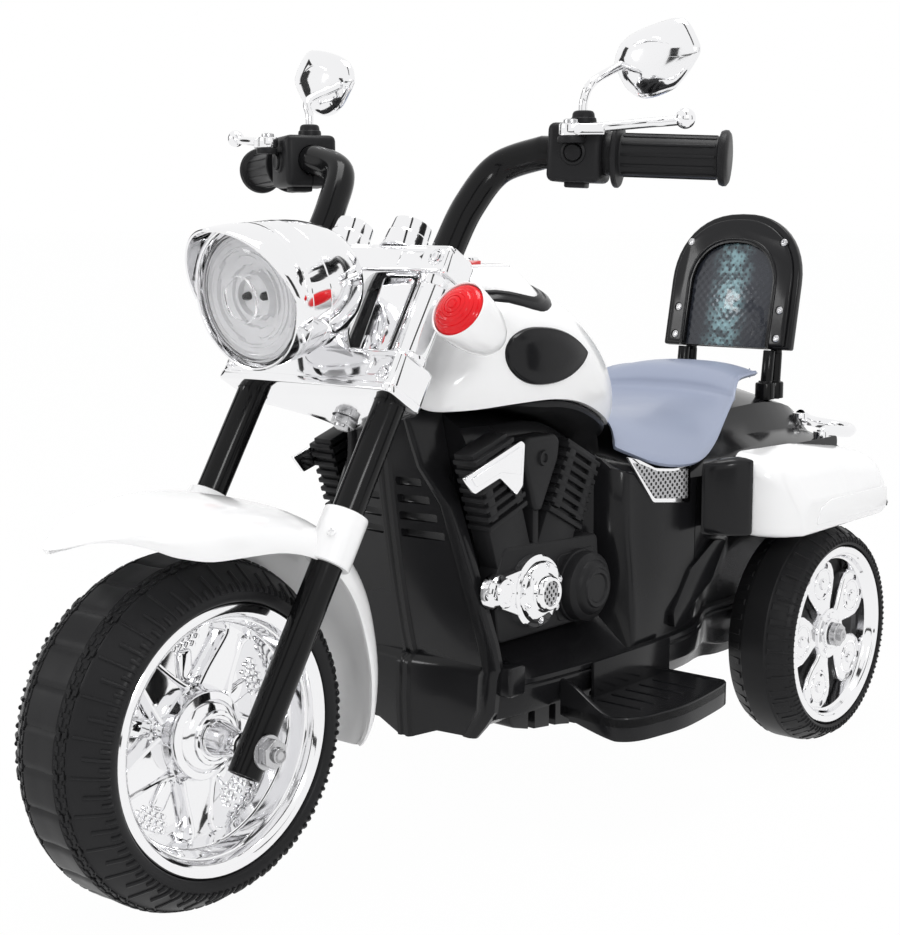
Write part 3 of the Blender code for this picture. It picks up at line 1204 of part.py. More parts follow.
BADGE_AT = (0.2565, 0.3372)
BADGE_FORE = 0.0290
BADGE_AFT = 0.0520
BADGE_HALF_H = 0.0204
BADGE_T = 0.0028
BADGE_LIFT = 0.0008
badge_outline = [(BADGE_AT[0] + (BADGE_AFT if x > 0 else BADGE_FORE) * x,
                  BADGE_AT[1] + BADGE_HALF_H * math.copysign(abs(y) ** (1.3 if x > 0 else 1), y))
                 for x, y in arc((0, 0), 1.0, 0, 345, 23)]
badge = plate("knee_badge", badge_outline, 0.06, side_plane(0.045))
badge_skin = thicken(loft("badge_skin", [nose, *tank_rings, tail], capped=BOTH_ENDS), BADGE_T, 1.0)
carve(badge, badge_skin, "INTERSECT")
badge.matrix_world = Matrix.Translation(LEFT * BADGE_LIFT) @ badge.matrix_world
badge_skin.matrix_world = Matrix.Translation(LEFT * BADGE_LIFT)
keep_sides("knee_badge", badge, "black_gloss")

CONSOLE_HALF = 0.019
console_rings = []
for y in (0.306, 0.320, 0.335, 0.350, 0.365, 0.380, 0.392):
    half_x = CONSOLE_HALF * (1.0 if y < 0.37 else 0.75)
    low = tank_height(0.0, y) - 0.0012
    edge = tank_height(half_x, y) - 0.0012
    console_rings.append([(-half_x, y, edge), (0, y, low), (half_x, y, edge),
                          (half_x * 0.9, y, edge + 0.0040), (0, y, low + 0.0040),
                          (-half_x * 0.9, y, edge + 0.0040)])
weld(tank, loft("tank_strip", console_rings, closed=True, capped=BOTH_ENDS))
keep("tank_shell", tank, "white_gloss")

dash_outline = [(-0.026, 0.244), (0.026, 0.244), (0.031, 0.250), (0.031, 0.290), (0.024, 0.299),
                (-0.024, 0.299), (-0.031, 0.290), (-0.031, 0.250)]
dash = plate("dash_panel", dash_outline, DASH_T, Matrix.Translation((0, 0, DASH_Z)))
bevel(dash, 0.0015, 1)
gauge = turned("gauge", [(0.0, 0.0045), (0.008, 0.0045), (0.010, 0.0030), (0.010, -0.001),
                         (0.0, -0.001)],
               Matrix.Translation((-0.006, 0.284, DASH_Z + DASH_T)), 20)
SWITCH_HALF = Vector((0.0060, 0.0085, 0))
weld(dash, gauge)
carve(dash, box("switch_room", SWITCH_AT - SWITCH_HALF - Vector((GAP, 0.0012, 0.0060)),
                SWITCH_AT + SWITCH_HALF + Vector((GAP, 0.0012, 0.01))))
keep("dash_panel", dash, "white_gloss")
rocker = plate("power_switch", [(-0.0085, -0.0010), (-0.0085, 0.0026), (0.0, 0.0012),
                                (0.0085, 0.0026), (0.0085, -0.0010), (0.0, -0.0040)],
               2 * SWITCH_HALF.x, frame_matrix((SWITCH_AT.x - SWITCH_HALF.x, SWITCH_AT.y,
                                                SWITCH_AT.z), LEFT, BACK))
keep("power_switch", rocker, "red_plastic", "power_switch")


# Seat: a moulded pan with drooping flanks and a raised rear pad
# Each row: middle (Y, Z), then edge (X, Y, Z)
SEAT_ROWS = (
    (0.4120, 0.2840, 0.074, 0.3720, 0.2600),
    (0.4250, 0.2830, 0.094, 0.3860, 0.2510),
    (0.4450, 0.2820, 0.105, 0.4060, 0.2475),
    (0.4650, 0.2825, 0.107, 0.4330, 0.2485),
    (0.4900, 0.2835, 0.099, 0.4650, 0.2570),
    (0.5150, 0.2855, 0.088, 0.4980, 0.2720),
    (0.5400, 0.2885, 0.079, 0.5250, 0.2850),
    (0.5500, 0.2990, 0.075, 0.5360, 0.2930),
    (0.5650, 0.3090, 0.069, 0.5530, 0.3010),
    (0.5900, 0.3110, 0.066, 0.5850, 0.3030),
    (0.6060, 0.3050, 0.052, 0.6020, 0.2990),
)
SEAT_STEPS = 5


def seat_row(row, drop=0.0):
    mid_y, mid_z, edge_x, edge_y, edge_z = row
    points = []
    for k in range(-SEAT_STEPS, SEAT_STEPS + 1):
        share = abs(k) / SEAT_STEPS
        x = edge_x * k / SEAT_STEPS
        y = mid_y + (edge_y - mid_y) * share ** 2.3
        z = mid_z + (edge_z - mid_z) * share ** 2.6
        points.append(Vector((x, y, z - drop)))
    return points


seat = loft("seat", [seat_row(row) for row in SEAT_ROWS])
if sum(face.normal.z for face in seat.data.polygons) < 0:
    seat.data.flip_normals()
thicken(seat, SEAT_WALL)
for x, y in ((0.040, 0.440), (0.040, 0.560), (-0.040, 0.440), (-0.040, 0.560)):
    row_z = blend([(r[0], r[1]) for r in SEAT_ROWS], y)[0]
    weld(seat, rod(f"seat_boss_{x}_{y}", (x, y, seat_on_body(x, y, 0.006)), (x, y, row_z - 0.003),
                   0.006, 8))
keep("seat", seat, "seat")


# Saddlebags
COVER_IN_X = 0.1185
cover_rings = []
for x, front, low, high, rear in ((COVER_IN_X, 0.4580, 0.1880, 0.2520, 0.634),
                                  (0.1400, 0.4580, 0.1865, 0.2495, 0.636),
                                  (0.1560, 0.4720, 0.1860, 0.2400, 0.637),
                                  (BAG_OUTER_X - 0.003, 0.4840, 0.1860, 0.2200, 0.637),
                                  (BAG_OUTER_X, 0.4900, 0.1890, 0.2130, 0.633)):
    cover_rings.append([(x, front, low + 0.004), (x, front, high - 0.008),
                        (x, front + 0.007, high), (x, rear - 0.070, high - 0.0035),
                        (x, rear - 0.006, high - 0.0120), (x, rear, high - 0.0190),
                        (x, rear, low + 0.008), (x, rear - 0.008, low + 0.003),
                        (x, front + 0.006, low)])
cover = loft("saddlebag_cover", cover_rings, closed=True, capped=(-1,))
thicken(cover, BAG_WALL)
keep_sides("saddlebag_cover", cover, "white_gloss")

hoop_ends = [Vector((x, y, seat_on_body(x, y, BUMPER_R) + BUMPER_R))
             for x, y in ((0.0600, 0.6720), (0.0930, 0.6500))]
hoop = tube("rear_bumper", [hoop_ends[0], (0.0600, 0.6950, 0.2500), (0.0740, 0.7100, 0.2470),
                            (0.0900, 0.7085, 0.2455), (0.0970, 0.6920, 0.2450),
                            (0.0960, 0.6700, 0.2475), hoop_ends[1]], BUMPER_R, 2)
for end in hoop_ends:
    foot_z = seat_on_body(end.x, end.y, BUMPER_FOOT_R)
    weld(hoop, rod("bumper_foot", (end.x, end.y, foot_z), end, BUMPER_FOOT_R, 10))
keep_sides("rear_bumper", hoop, "chrome")


# Backrest
rest_at = frame_matrix((0, REST_Y, REST_BOTTOM_Z), Vector((0, -math.cos(REST_LEAN),
                                                           math.sin(REST_LEAN))), LEFT)
REST_H = (REST_TOP_Z - REST_BOTTOM_Z) / math.cos(REST_LEAN)
PANEL_HALF = 0.041
PANEL_TOP = 0.093


def arch(half, top, bottom, steps=10):
    """An outline with straight sides and a rounded top, from lower left to lower right."""
    curve_low = top - half * 0.95
    points = [(-half, bottom)]
    for k in range(steps + 1):
        angle = math.pi * (1 - k / steps)
        points.append((half * math.copysign(abs(math.cos(angle)) ** 0.85, math.cos(angle)),
                       curve_low + (top - curve_low) * math.sin(angle) ** 0.95))
    return points + [(half, bottom)]


frame_piece = plate("backrest_frame", arch(REST_HALF, REST_H, 0.0), REST_T, rest_at)
panel_room = plate("panel_room", arch(PANEL_HALF + GAP, PANEL_TOP + GAP, -0.01), 0.009,
                   rest_at @ Matrix.Translation((0, 0, 0.0045)))
carve(frame_piece, panel_room)
panel = plate("backrest_panel", arch(PANEL_HALF, PANEL_TOP, 0.0), 0.0040,
              rest_at @ Matrix.Translation((0, 0, 0.0045 + GAP)))


def rest_point(x, up, fore):
    return rest_at @ Vector((x, up, fore))


front_top = rest_point(POST_X, -POST_R * math.tan(REST_LEAN) - GAP, REST_T / 2)
front_foot = front_top + Vector((0, -0.0060, 0))
front_foot.z = seat_on_body(POST_X, front_foot.y, POST_R)
back_top = rest_point(POST_X, 0.050, -POST_R - GAP)
back_knee = rest_point(POST_X, 0.004, -POST_R - GAP)
back_foot = back_knee + Vector((0, -0.0030, 0))
back_foot.z = seat_on_body(POST_X, back_foot.y, POST_R)
posts = tube("post_front", [front_foot, front_top], POST_R, 2, smooth=False)
weld(posts, tube("post_back", [back_foot, back_knee, back_top], POST_R, 2, smooth=False))
collar_z = max(seat_on_body(POST_X, y, SOCKET_R) for y in (front_foot.y, back_foot.y))
for name, foot in (("post_collar_front", front_foot), ("post_collar_back", back_foot)):
    weld(posts, rod(name, (foot.x, foot.y, collar_z), (foot.x, foot.y, collar_z + COLLAR_RISE),
                    SOCKET_R, 12))
keep_sides("backrest_post", posts, "black_gloss")
for k, (x, up) in enumerate(((0.0475, 0.094), (0.0520, 0.034), (0.0520, 0.009))):
    for sign in (1, -1):
        weld(frame_piece, rod(f"rest_screw_{k}_{sign}", rest_point(x * sign, up, REST_T - 0.001),
                              rest_point(x * sign, up, REST_T + 0.0018), SCREW_R, 8,
                              SCREW_R * 0.7))
keep("backrest_frame", frame_piece, "black_gloss")
keep("backrest_panel", panel, "panel")


# Battery and drive, inside the body shells
battery_low = FLOOR_Z + SHELL_WALL + GAP
battery = box("battery", (-0.045, 0.405, battery_low), (0.045, 0.470, battery_low + 0.095))
bevel(battery, 0.003, 1)
keep("battery", battery, "battery")
drive_low = AXLE_BAY_Z + SHELL_WALL + GAP
gearbox = box("gearbox", (-0.068, WHEELBASE - 0.023, drive_low),
              (-0.020, WHEELBASE + 0.037, 0.128))
bevel(gearbox, 0.004, 1)
motor_y = WHEELBASE + 0.025
weld(gearbox, rod("motor", (-0.022, motor_y, 0.115), (0.040, motor_y, 0.115), 0.0140, 20))
carve(gearbox, rod("drive_bore", REAR_AXLE - LEFT * 0.09, REAR_AXLE + LEFT * 0.01,
                   AXLE_R + RUNNING_GAP, 20))
keep("gearbox", gearbox, "battery")


# Front fender: an arched skin with collars that the fork legs pass through
# Each row: angle about the axle from straight back, crown radius, half width, edge radius
FENDER_ROWS = (
    (126, 0.1630, 0.0080, 0.1615),
    (122, 0.1605, 0.0190, 0.1570),
    (118, 0.1580, 0.0300, 0.1500),
    (114, 0.1560, 0.0410, 0.1400),
    (110, 0.1540, 0.0500, 0.1300),
    (102, 0.1515, 0.0585, 0.1205),
    (90, 0.1500, 0.0630, 0.1180),
    (76, 0.1490, 0.0650, 0.1200),
    (64, 0.1490, 0.0655, 0.1215),
    (52, 0.1485, 0.0630, 0.1215),
    (36, 0.1480, 0.0560, 0.1220),
    (20, 0.1465, 0.0480, 0.1245),
    (4, 0.1455, 0.0420, 0.1290),
    (-8, 0.1460, 0.0360, 0.1340),
    (-16, 0.1470, 0.0260, 0.1400),
)


def fender_ring(row, steps=6):
    degrees, crown, half, edge = row
    angle = math.radians(degrees)
    ring = []
    for k in range(steps + 1):
        turn = math.pi * k / steps
        across = math.copysign(abs(math.cos(turn)) ** 0.62, math.cos(turn)) * half
        radius = edge + (crown - edge) * max(math.sin(turn), 0.0) ** 0.75
        ring.append((across, radius * math.cos(angle),
                     FRONT_WHEEL_R + radius * math.sin(angle)))
    return ring


fender = loft("front_fender", [fender_ring(row) for row in FENDER_ROWS])
centre_face = max(fender.data.polygons, key=lambda face: face.center.z)
if centre_face.normal.z < 0:
    fender.data.flip_normals()
thicken(fender, FENDER_WALL)
for sign in (1, -1):
    collar = rod(f"fender_collar_{sign}", fork_point(LEG_X * sign, 0, COLLAR_LOW_W),
                 fork_point(LEG_X * sign, 0, COLLAR_LOW_W + COLLAR_H), COLLAR_R, 16)
    weld(fender, collar)
for sign in (1, -1):
    carve(fender, rod(f"fender_leg_room_{sign}", fork_point(LEG_X * sign, 0, COLLAR_LOW_W - 0.03),
                      fork_point(LEG_X * sign, 0, COLLAR_LOW_W + COLLAR_H + 0.03),
                      LEG_R + GAP, 16))
keep("front_fender", fender, "white_gloss", "steering")

# The origin goes under the middle of the whole vehicle
PIVOTS["vehicle"].location.y = -(BODY_REAR_Y - FRONT_WHEEL_R) / 2
bpy.context.view_layer.update()
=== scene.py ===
import json
import math

import bpy
from mathutils import Matrix, Vector


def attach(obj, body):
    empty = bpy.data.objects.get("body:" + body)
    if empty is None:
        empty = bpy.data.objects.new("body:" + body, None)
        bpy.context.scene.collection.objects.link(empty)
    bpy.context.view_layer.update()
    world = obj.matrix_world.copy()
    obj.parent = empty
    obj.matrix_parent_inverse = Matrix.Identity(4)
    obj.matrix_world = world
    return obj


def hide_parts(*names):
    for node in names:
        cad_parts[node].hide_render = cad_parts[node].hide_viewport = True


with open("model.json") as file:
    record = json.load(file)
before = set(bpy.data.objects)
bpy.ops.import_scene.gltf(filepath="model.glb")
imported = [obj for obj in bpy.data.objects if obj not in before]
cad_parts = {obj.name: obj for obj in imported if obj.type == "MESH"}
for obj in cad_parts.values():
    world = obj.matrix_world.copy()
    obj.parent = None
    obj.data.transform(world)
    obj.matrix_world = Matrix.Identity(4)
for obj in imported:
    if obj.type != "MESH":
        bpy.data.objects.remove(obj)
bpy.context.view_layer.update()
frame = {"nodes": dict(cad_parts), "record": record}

# All sizes are measured from the front axle, with the ground at Z = 0. The datum then moves a
# finished piece into the frame of the solids.
DATUM_Y = -0.30275
RAKE = math.radians(31.7)
WHEEL_R = 0.1125
LEFT = Vector((1, 0, 0))
BACK = Vector((0, 1, 0))
UP = Vector((0, 0, 1))
FORK_UP = Vector((0, math.sin(RAKE), math.cos(RAKE)))
FORK_BACK = Vector((0, math.cos(RAKE), -math.sin(RAKE)))
SAME_POINT = 0.00001
SEAM_GAP = 0.00002

bpy.context.scene.tool_settings.mesh_select_mode = (True, False, False)


def fork_point(x, v, w):
    """V runs back across the fork and W up along it."""
    return Vector((x, 0, WHEEL_R)) + FORK_BACK * v + FORK_UP * w


def mm(*rows):
    """Rows of numbers in millimetres, turned into metres."""
    return [tuple(value / 1000 for value in row) for row in rows]


def shift(x, y, z):
    return Matrix.Translation((x, y, z))


def spun(degrees, axis="Z"):
    return Matrix.Rotation(math.radians(degrees), 4, axis)


def place(origin, z_axis, x_axis=LEFT):
    """A frame with the given origin, its Z along z_axis and its X near x_axis."""
    z = Vector(z_axis).normalized()
    y = z.cross(Vector(x_axis)).normalized()
    return Matrix.Translation(Vector(origin)) @ Matrix((y.cross(z), y, z)).transposed().to_4x4()


def side_at(x):
    """A frame that faces left, with its X to the back."""
    return place((x, 0, 0), LEFT, BACK)


def arc(centre, radius, start, end, steps):
    """Points on an arc, with the angles in degrees."""
    turns = [math.radians(start + (end - start) * k / steps) for k in range(steps + 1)]
    return [(centre[0] + radius * math.cos(t), centre[1] + radius * math.sin(t)) for t in turns]


def rounded(points, radius, steps=5):
    """An outline with its corners rounded."""
    out = []
    count = len(points)
    for k in range(count):
        here = Vector(points[k])
        before = Vector(points[k - 1]) - here
        after = Vector(points[(k + 1) % count]) - here
        cut_back = min(radius, before.length * 0.45, after.length * 0.45)
        a = here + before.normalized() * cut_back
        b = here + after.normalized() * cut_back
        for step in range(steps + 1):
            t = step / steps
            out.append(tuple(a * (1 - t) ** 2 + here * 2 * t * (1 - t) + b * t * t))
    return out


def mirrored_loop(half):
    """A closed profile from the outer half of its points."""
    return half + [(r, -h) for r, h in reversed(half)]


def two_sided(points):
    """Points of the left side, and their mirror images back to the start."""
    return points + [(-x, *rest) for x, *rest in reversed(points)]


def over_the_top(points):
    """Points of the left side up to the middle, and on down the right side."""
    return points + [Vector((-p.x, p.y, p.z)) for p in reversed(points[:-1])]


def faired(rows, steps):
    """More rows on a smooth curve through the given rows of numbers."""
    rows = [tuple(row) for row in rows]
    ends = [rows[0], *rows, rows[-1]]
    out = []
    for a, b, c, d in zip(ends, ends[1:], ends[2:], ends[3:]):
        for k in range(steps):
            t = k / steps
            out.append(tuple(0.5 * (2 * q + (r - p) * t + (2 * p - 5 * q + 4 * r - s) * t * t
                + (3 * q - p - 3 * r + s) * t ** 3) for p, q, r, s in zip(a, b, c, d)))
    return out + [rows[-1]]


def between(rows, at):
    """The numbers of a table at a place between its rows."""
    rows = sorted(rows)
    at = min(max(at, rows[0][0]), rows[-1][0])
    for low, high in zip(rows, rows[1:]):
        if at <= high[0]:
            share = (at - low[0]) / (high[0] - low[0])
            return [a + (b - a) * share for a, b in zip(low[1:], high[1:])]


# Modelling steps

def unpick():
    bpy.ops.object.select_all(action="DESELECT")


def go(mode):
    """Into edit mode with all of the mesh selected, or back to object mode."""
    bpy.ops.object.mode_set(mode=mode)
    if mode == "EDIT":
        bpy.ops.mesh.select_all(action="SELECT")


def pick(*pieces):
    unpick()
    for piece in pieces:
        piece.select_set(True)
    bpy.context.view_layer.objects.active = pieces[0]


def settle(piece):
    pick(piece)
    bpy.ops.object.transform_apply(location=True, rotation=True, scale=True)
    return piece


def close_up(piece, holes=False):
    """Merges doubled points, closes open ends if asked, and points the faces outwards."""
    pick(piece)
    go("EDIT")
    bpy.ops.mesh.remove_doubles(threshold=SEAM_GAP)
    if holes:
        bpy.ops.mesh.fill_holes(sides=0)
    bpy.ops.mesh.normals_make_consistent(inside=False)
    go("OBJECT")
    return piece


def drawn(name, points):
    """A run of edges, extruded point by point. It stays in edit mode."""
    unpick()
    bpy.ops.mesh.primitive_plane_add(size=0.001, location=points[0])
    piece = bpy.context.object
    piece.name = name
    go("EDIT")
    bpy.ops.mesh.merge(type="CENTER")
    for a, b in zip(points, points[1:]):
        bpy.ops.mesh.extrude_region_move(TRANSFORM_OT_translate={"value": b - a})
    bpy.ops.mesh.select_all(action="SELECT")
    return piece


def turned(name, profile, at, steps, loop=False):
    """A profile of (radius, height) spun round the Z axis of a frame."""
    points = [at @ Vector((r, 0, h)) for r, h in profile]
    if loop:
        points.append(points[0])
    piece = drawn(name, points)
    bpy.ops.mesh.remove_doubles(threshold=SAME_POINT)
    bpy.ops.mesh.spin(steps=steps, angle=2 * math.pi, center=at.translation, axis=at.col[2].to_3d())
    go("OBJECT")
    return close_up(settle(piece))


def slab(name, outline, at, thick, bevel=0.0, segments=2):
    """An outline filled, extruded along the Z of its frame, and its rims bevelled."""
    points = [at @ Vector((x, y, 0)) for x, y in outline]
    piece = drawn(name, points + points[:1])
    bpy.ops.mesh.remove_doubles(threshold=SAME_POINT)
    bpy.ops.mesh.edge_face_add()
    bpy.ops.mesh.extrude_region_move(TRANSFORM_OT_translate={"value": at.col[2].to_3d() * thick})
    go("OBJECT")
    close_up(settle(piece))
    return soften(piece, bevel, segments) if bevel else piece


def side_plate(name, points, corner, x, thick, bevel, segments=3):
    """A plate with rounded corners that faces left."""
    return slab(name, rounded(points, corner, 3), side_at(x), thick, bevel, segments)


def block(name, low, high, at=None, bevel=0.0, segments=2):
    """A cube sized between two corners of a frame, with its edges bevelled."""
    low, high = Vector(low), Vector(high)
    unpick()
    bpy.ops.mesh.primitive_cube_add(size=1, location=(low + high) / 2, scale=high - low)
    piece = bpy.context.object
    piece.name = name
    settle(piece)
    if at is not None:
        piece.data.transform(at)
        close_up(piece)
    return soften(piece, bevel, segments) if bevel else piece


def skin(name, rows, wrap=False, holes=False):
    """A grid pulled onto rows of points, closed round where wrap is set."""
    if wrap:
        rows = [[*row, row[0]] for row in rows]
    unpick()
    bpy.ops.mesh.primitive_grid_add(size=1, x_subdivisions=len(rows[0]) - 1,
        y_subdivisions=len(rows) - 1)
    piece = bpy.context.object
    piece.name = name
    spots = [spot for row in rows for spot in row]
    for vert, spot in zip(piece.data.vertices, spots):
        vert.co = spot
    return close_up(piece, holes=holes)


def lofted(name, rings):
    """A closed body through rings of points."""
    return skin(name, rings, wrap=True, holes=True)


def facing_up(sheet):
    if sum(face.normal.z for face in sheet.data.polygons) < 0:
        sheet.data.flip_normals()
    return sheet


def use(piece, kind, **settings):
    """Adds a modifier and applies it."""
    pick(piece)
    step = piece.modifiers.new(kind.lower(), kind)
    for key, value in settings.items():
        setattr(step, key, value)
    bpy.ops.object.modifier_apply(modifier=step.name)
    return piece


def soften(piece, width, segments=2, angle=30):
    return use(piece, "BEVEL", width=width, segments=segments, limit_method="ANGLE",
        angle_limit=math.radians(angle), use_clamp_overlap=True)


def walled(piece, thick, offset=-1.0):
    return use(piece, "SOLIDIFY", thickness=thick, offset=offset, use_even_offset=True)


def cut(piece, tool, how="DIFFERENCE"):
    use(piece, "BOOLEAN", operation=how, solver="EXACT", object=tool)
    bpy.data.objects.remove(tool, do_unlink=True)


def pipe(name, route, radius, sides, steps):
    """A round bar bent along a smooth route."""
    curve = bpy.data.curves.new(name, "CURVE")
    curve.dimensions = "3D"
    curve.bevel_depth = radius
    curve.bevel_resolution = sides
    curve.use_fill_caps = True
    points = faired(route, steps)
    spline = curve.splines.new("POLY")
    spline.points.add(len(points) - 1)
    for point, spot in zip(spline.points, points):
        point.co = (*spot, 1)
    piece = bpy.data.objects.new(name, curve)
    bpy.context.collection.objects.link(piece)
    pick(piece)
    bpy.ops.object.convert(target="MESH")
    return close_up(bpy.context.object)


def cylinder(name, start, end, radius, sides, bevel=0.0):
    """A round or many-sided stub between two points, with chamfered rims."""
    start, end = Vector(start), Vector(end)
    unpick()
    bpy.ops.mesh.primitive_cone_add(vertices=sides, radius1=radius, radius2=radius,
        depth=(end - start).length)
    piece = bpy.context.object
    piece.name = name
    side = LEFT if abs((end - start).normalized().x) < 0.9 else BACK
    piece.data.transform(place((start + end) / 2, end - start, side))
    close_up(piece)
    return soften(piece, bevel) if bevel else piece


def stub(name, at, low, high, radius, sides, bevel=0.0):
    """A cylinder on the Z of a frame between two heights."""
    return cylinder(name, at @ Vector((0, 0, low)), at @ Vector((0, 0, high)), radius, sides, bevel)


def joined(*pieces):
    pick(*pieces)
    if len(pieces) > 1:
        bpy.ops.object.join()
    return pieces[0]


def twin(piece, matrix, name=None):
    """A copy with its own mesh, moved by a matrix."""
    other = piece.copy()
    other.data = piece.data.copy()
    other.data.transform(matrix)
    if matrix.determinant() < 0:
        other.data.flip_normals()
    if name:
        other.name = name
    bpy.context.collection.objects.link(other)
    return other


def ring_of(piece, at, count, start=0.0):
    """Copies of a piece round the Z axis of a frame, joined to it."""
    turns = [at @ Matrix.Rotation(2 * math.pi * k / count + start, 4, "Z") @ at.inverted()
        for k in range(count)]
    copies = [twin(piece, turn) for turn in turns]
    bpy.data.objects.remove(piece, do_unlink=True)
    return joined(*copies)


MIRROR = Matrix.Scale(-1, 4, LEFT)


def both_faces(piece):
    return joined(piece, twin(piece, MIRROR))


# Finishes

class Socket:
    """A node's output. Arithmetic on it adds Math nodes."""

    def __init__(self, finish, output):
        self.finish = finish
        self.output = output

    def maths(self, operation, *values):
        return self.finish.node("ShaderNodeMath", {"operation": operation}, dict(enumerate(values)))

    def __add__(self, other):
        return self.maths("ADD", self, other)

    def __sub__(self, other):
        return self.maths("SUBTRACT", self, other)

    def __rsub__(self, other):
        return self.maths("SUBTRACT", other, self)

    def __mul__(self, other):
        return self.maths("MULTIPLY", self, other)

    def __gt__(self, other):
        return self.maths("GREATER_THAN", self, other)

    def __abs__(self):
        return self.maths("ABSOLUTE", self)

    def sine(self):
        return self.maths("SINE", self)

    __radd__ = __add__
    __rmul__ = __mul__


class Finish:
    """A procedural material on a Principled shader."""

    def __init__(self, name, slot, colour, roughness, metallic=0.0, **constants):
        self.material = bpy.data.materials.new(name)
        self.material.use_nodes = True
        self.slot = slot
        self.tree = self.material.node_tree
        self.shader = self.tree.nodes["Principled BSDF"]
        self.colour = (*colour, 1.0)
        self.set("Base Color", self.colour)
        self.set("Roughness", roughness)
        self.set("Metallic", metallic)
        for key, value in constants.items():
            self.set(key.replace("_", " "), value)
        self.material.diffuse_color = self.colour

    def set(self, key, value):
        self.feed(self.shader.inputs[key], value)

    def feed(self, socket, value):
        if isinstance(value, Socket):
            self.tree.links.new(value.output, socket)
        else:
            socket.default_value = value

    def node(self, kind, settings=None, inputs=None, output=0):
        made = self.tree.nodes.new(kind)
        for key, value in (settings or {}).items():
            setattr(made, key, value)
        for key, value in (inputs or {}).items():
            self.feed(made.inputs[key], value)
        return Socket(self, made.outputs[output])

    def where(self):
        return self.node("ShaderNodeTexCoord", output="Object")

    def axes(self):
        split = self.node("ShaderNodeSeparateXYZ", None, {0: self.where()})
        return [Socket(self, output) for output in split.output.node.outputs]

    def noise(self, scale, detail=2.0, stretch=None):
        spot = self.where()
        if stretch:
            spot = self.node("ShaderNodeMapping", None, {"Vector": spot, "Scale": stretch})
        return self.node("ShaderNodeTexNoise", None,
            {"Vector": spot, "Scale": scale, "Detail": detail, "Roughness": 0.5})

    def mixed(self, factor, low, high):
        """A colour between two colours."""
        return self.node("ShaderNodeMix", {"data_type": "RGBA"},
            {0: factor, 6: (*low, 1.0), 7: (*high, 1.0)}, 2)

    def bump(self, height, strength, distance):
        self.set("Normal", self.node("ShaderNodeBump", None,
            {"Height": height, "Strength": strength, "Distance": distance}))

    def spread(self, key, low, high, scale, detail=2.0):
        """Lets a value wander between two limits over the surface."""
        self.set(key, self.node("ShaderNodeMapRange", None,
            {0: self.noise(scale, detail), 1: 0.3, 2: 0.7, 3: low, 4: high}))


def moulded(name, slot, colour, rough, peel, tint, coat=0.0, grain=None, shine=0.5):
    """Injection-moulded plastic: orange peel, uneven gloss and a faint drift in its colour."""
    finish = Finish(name, slot, colour, rough[0], Coat_Weight=coat, Coat_Roughness=0.08,
        Specular_IOR_Level=shine)
    darker = tuple(c * (1 - tint) for c in colour)
    lighter = tuple(min(1.0, c * (1 + tint)) for c in colour)
    finish.set("Base Color", finish.mixed(finish.noise(14, 3), darker, lighter))
    finish.spread("Roughness", rough[0], rough[1], 22, 4)
    height = finish.noise(peel[0], 2)
    if grain:
        height = height * 0.6 + finish.noise(grain, 1) * 0.4
    finish.bump(height, peel[1], 0.0004)
    return finish


WHITE = moulded("white plastic", "white_gloss", (0.88, 0.88, 0.885), (0.16, 0.24), (60, 0.1),
    coat=0.4, tint=0.015)
BLACK = moulded("black gloss plastic", "black_gloss", (0.01, 0.01, 0.011), (0.14, 0.24), (90, 0.12),
    coat=0.05, tint=0.25, shine=0.2)
SATIN = moulded("black satin plastic", "black_satin", (0.014, 0.014, 0.015), (0.36, 0.5),
    (160, 0.2), tint=0.2, grain=900, shine=0.15)
PAINT = moulded("black painted tube", "black_gloss", (0.006, 0.006, 0.0065), (0.12, 0.18),
    (200, 0.05), coat=0.04, tint=0.2, shine=0.15)
TYRE = moulded("tyre plastic", "tyre", (0.016, 0.016, 0.017), (0.3, 0.46), (240, 0.18), tint=0.2,
    grain=1200, shine=0.14)
SEAT = moulded("seat plastic", "seat", (0.265, 0.3, 0.4), (0.34, 0.46), (700, 0.1), coat=0.1,
    tint=0.03, grain=1600)
RED = moulded("red plastic", "red_plastic", (0.62, 0.02, 0.02), (0.22, 0.32), (120, 0.08), coat=0.3,
    tint=0.05)

CHROME = Finish("plated plastic", "chrome", (0.9, 0.9, 0.91), 0.06, 1.0)
CHROME.spread("Roughness", 0.04, 0.1, 30, 3)
CHROME.set("Base Color", CHROME.mixed(CHROME.noise(9, 2), (0.84, 0.84, 0.85), (0.93, 0.93, 0.94)))
CHROME.bump(CHROME.noise(26, 1), 0.05, 0.002)

STEEL = Finish("zinc plated steel", "steel", (0.55, 0.55, 0.56), 0.25, 1.0)
STEEL.spread("Roughness", 0.18, 0.36, 60, 4)
STEEL.bump(STEEL.noise(300, 2, stretch=(1, 1, 8)), 0.1, 0.0004)

# The red lens glows faintly through its emission. This is a painted glow, as no lamp lights it.
RED_LENS = Finish("red lens", "red_lens", (0.72, 0.006, 0.012), 0.16, Coat_Weight=0.15,
    Specular_IOR_Level=0.25, Emission_Strength=0.1)
RED_LENS.set("Base Color", RED_LENS.mixed(RED_LENS.noise(40, 2), (0.52, 0.002, 0.006),
    (0.78, 0.006, 0.012)))
# The colour of the painted glow
RED_LENS.set("Emission Color", (0.8, 0.01, 0.02, 1.0))

CLEAR = Finish("clear lens", "clear_lens", (0.97, 0.97, 0.98), 0.03, Transmission_Weight=1.0,
    IOR=1.3)
CLEAR.spread("Roughness", 0.02, 0.06, 50, 2)
CLEAR.bump(CLEAR.noise(70, 1), 0.05, 0.001)

GLASS = Finish("mirror foil", "chrome", (0.86, 0.88, 0.89), 0.02, 1.0)
GLASS.spread("Roughness", 0.01, 0.04, 20, 2)

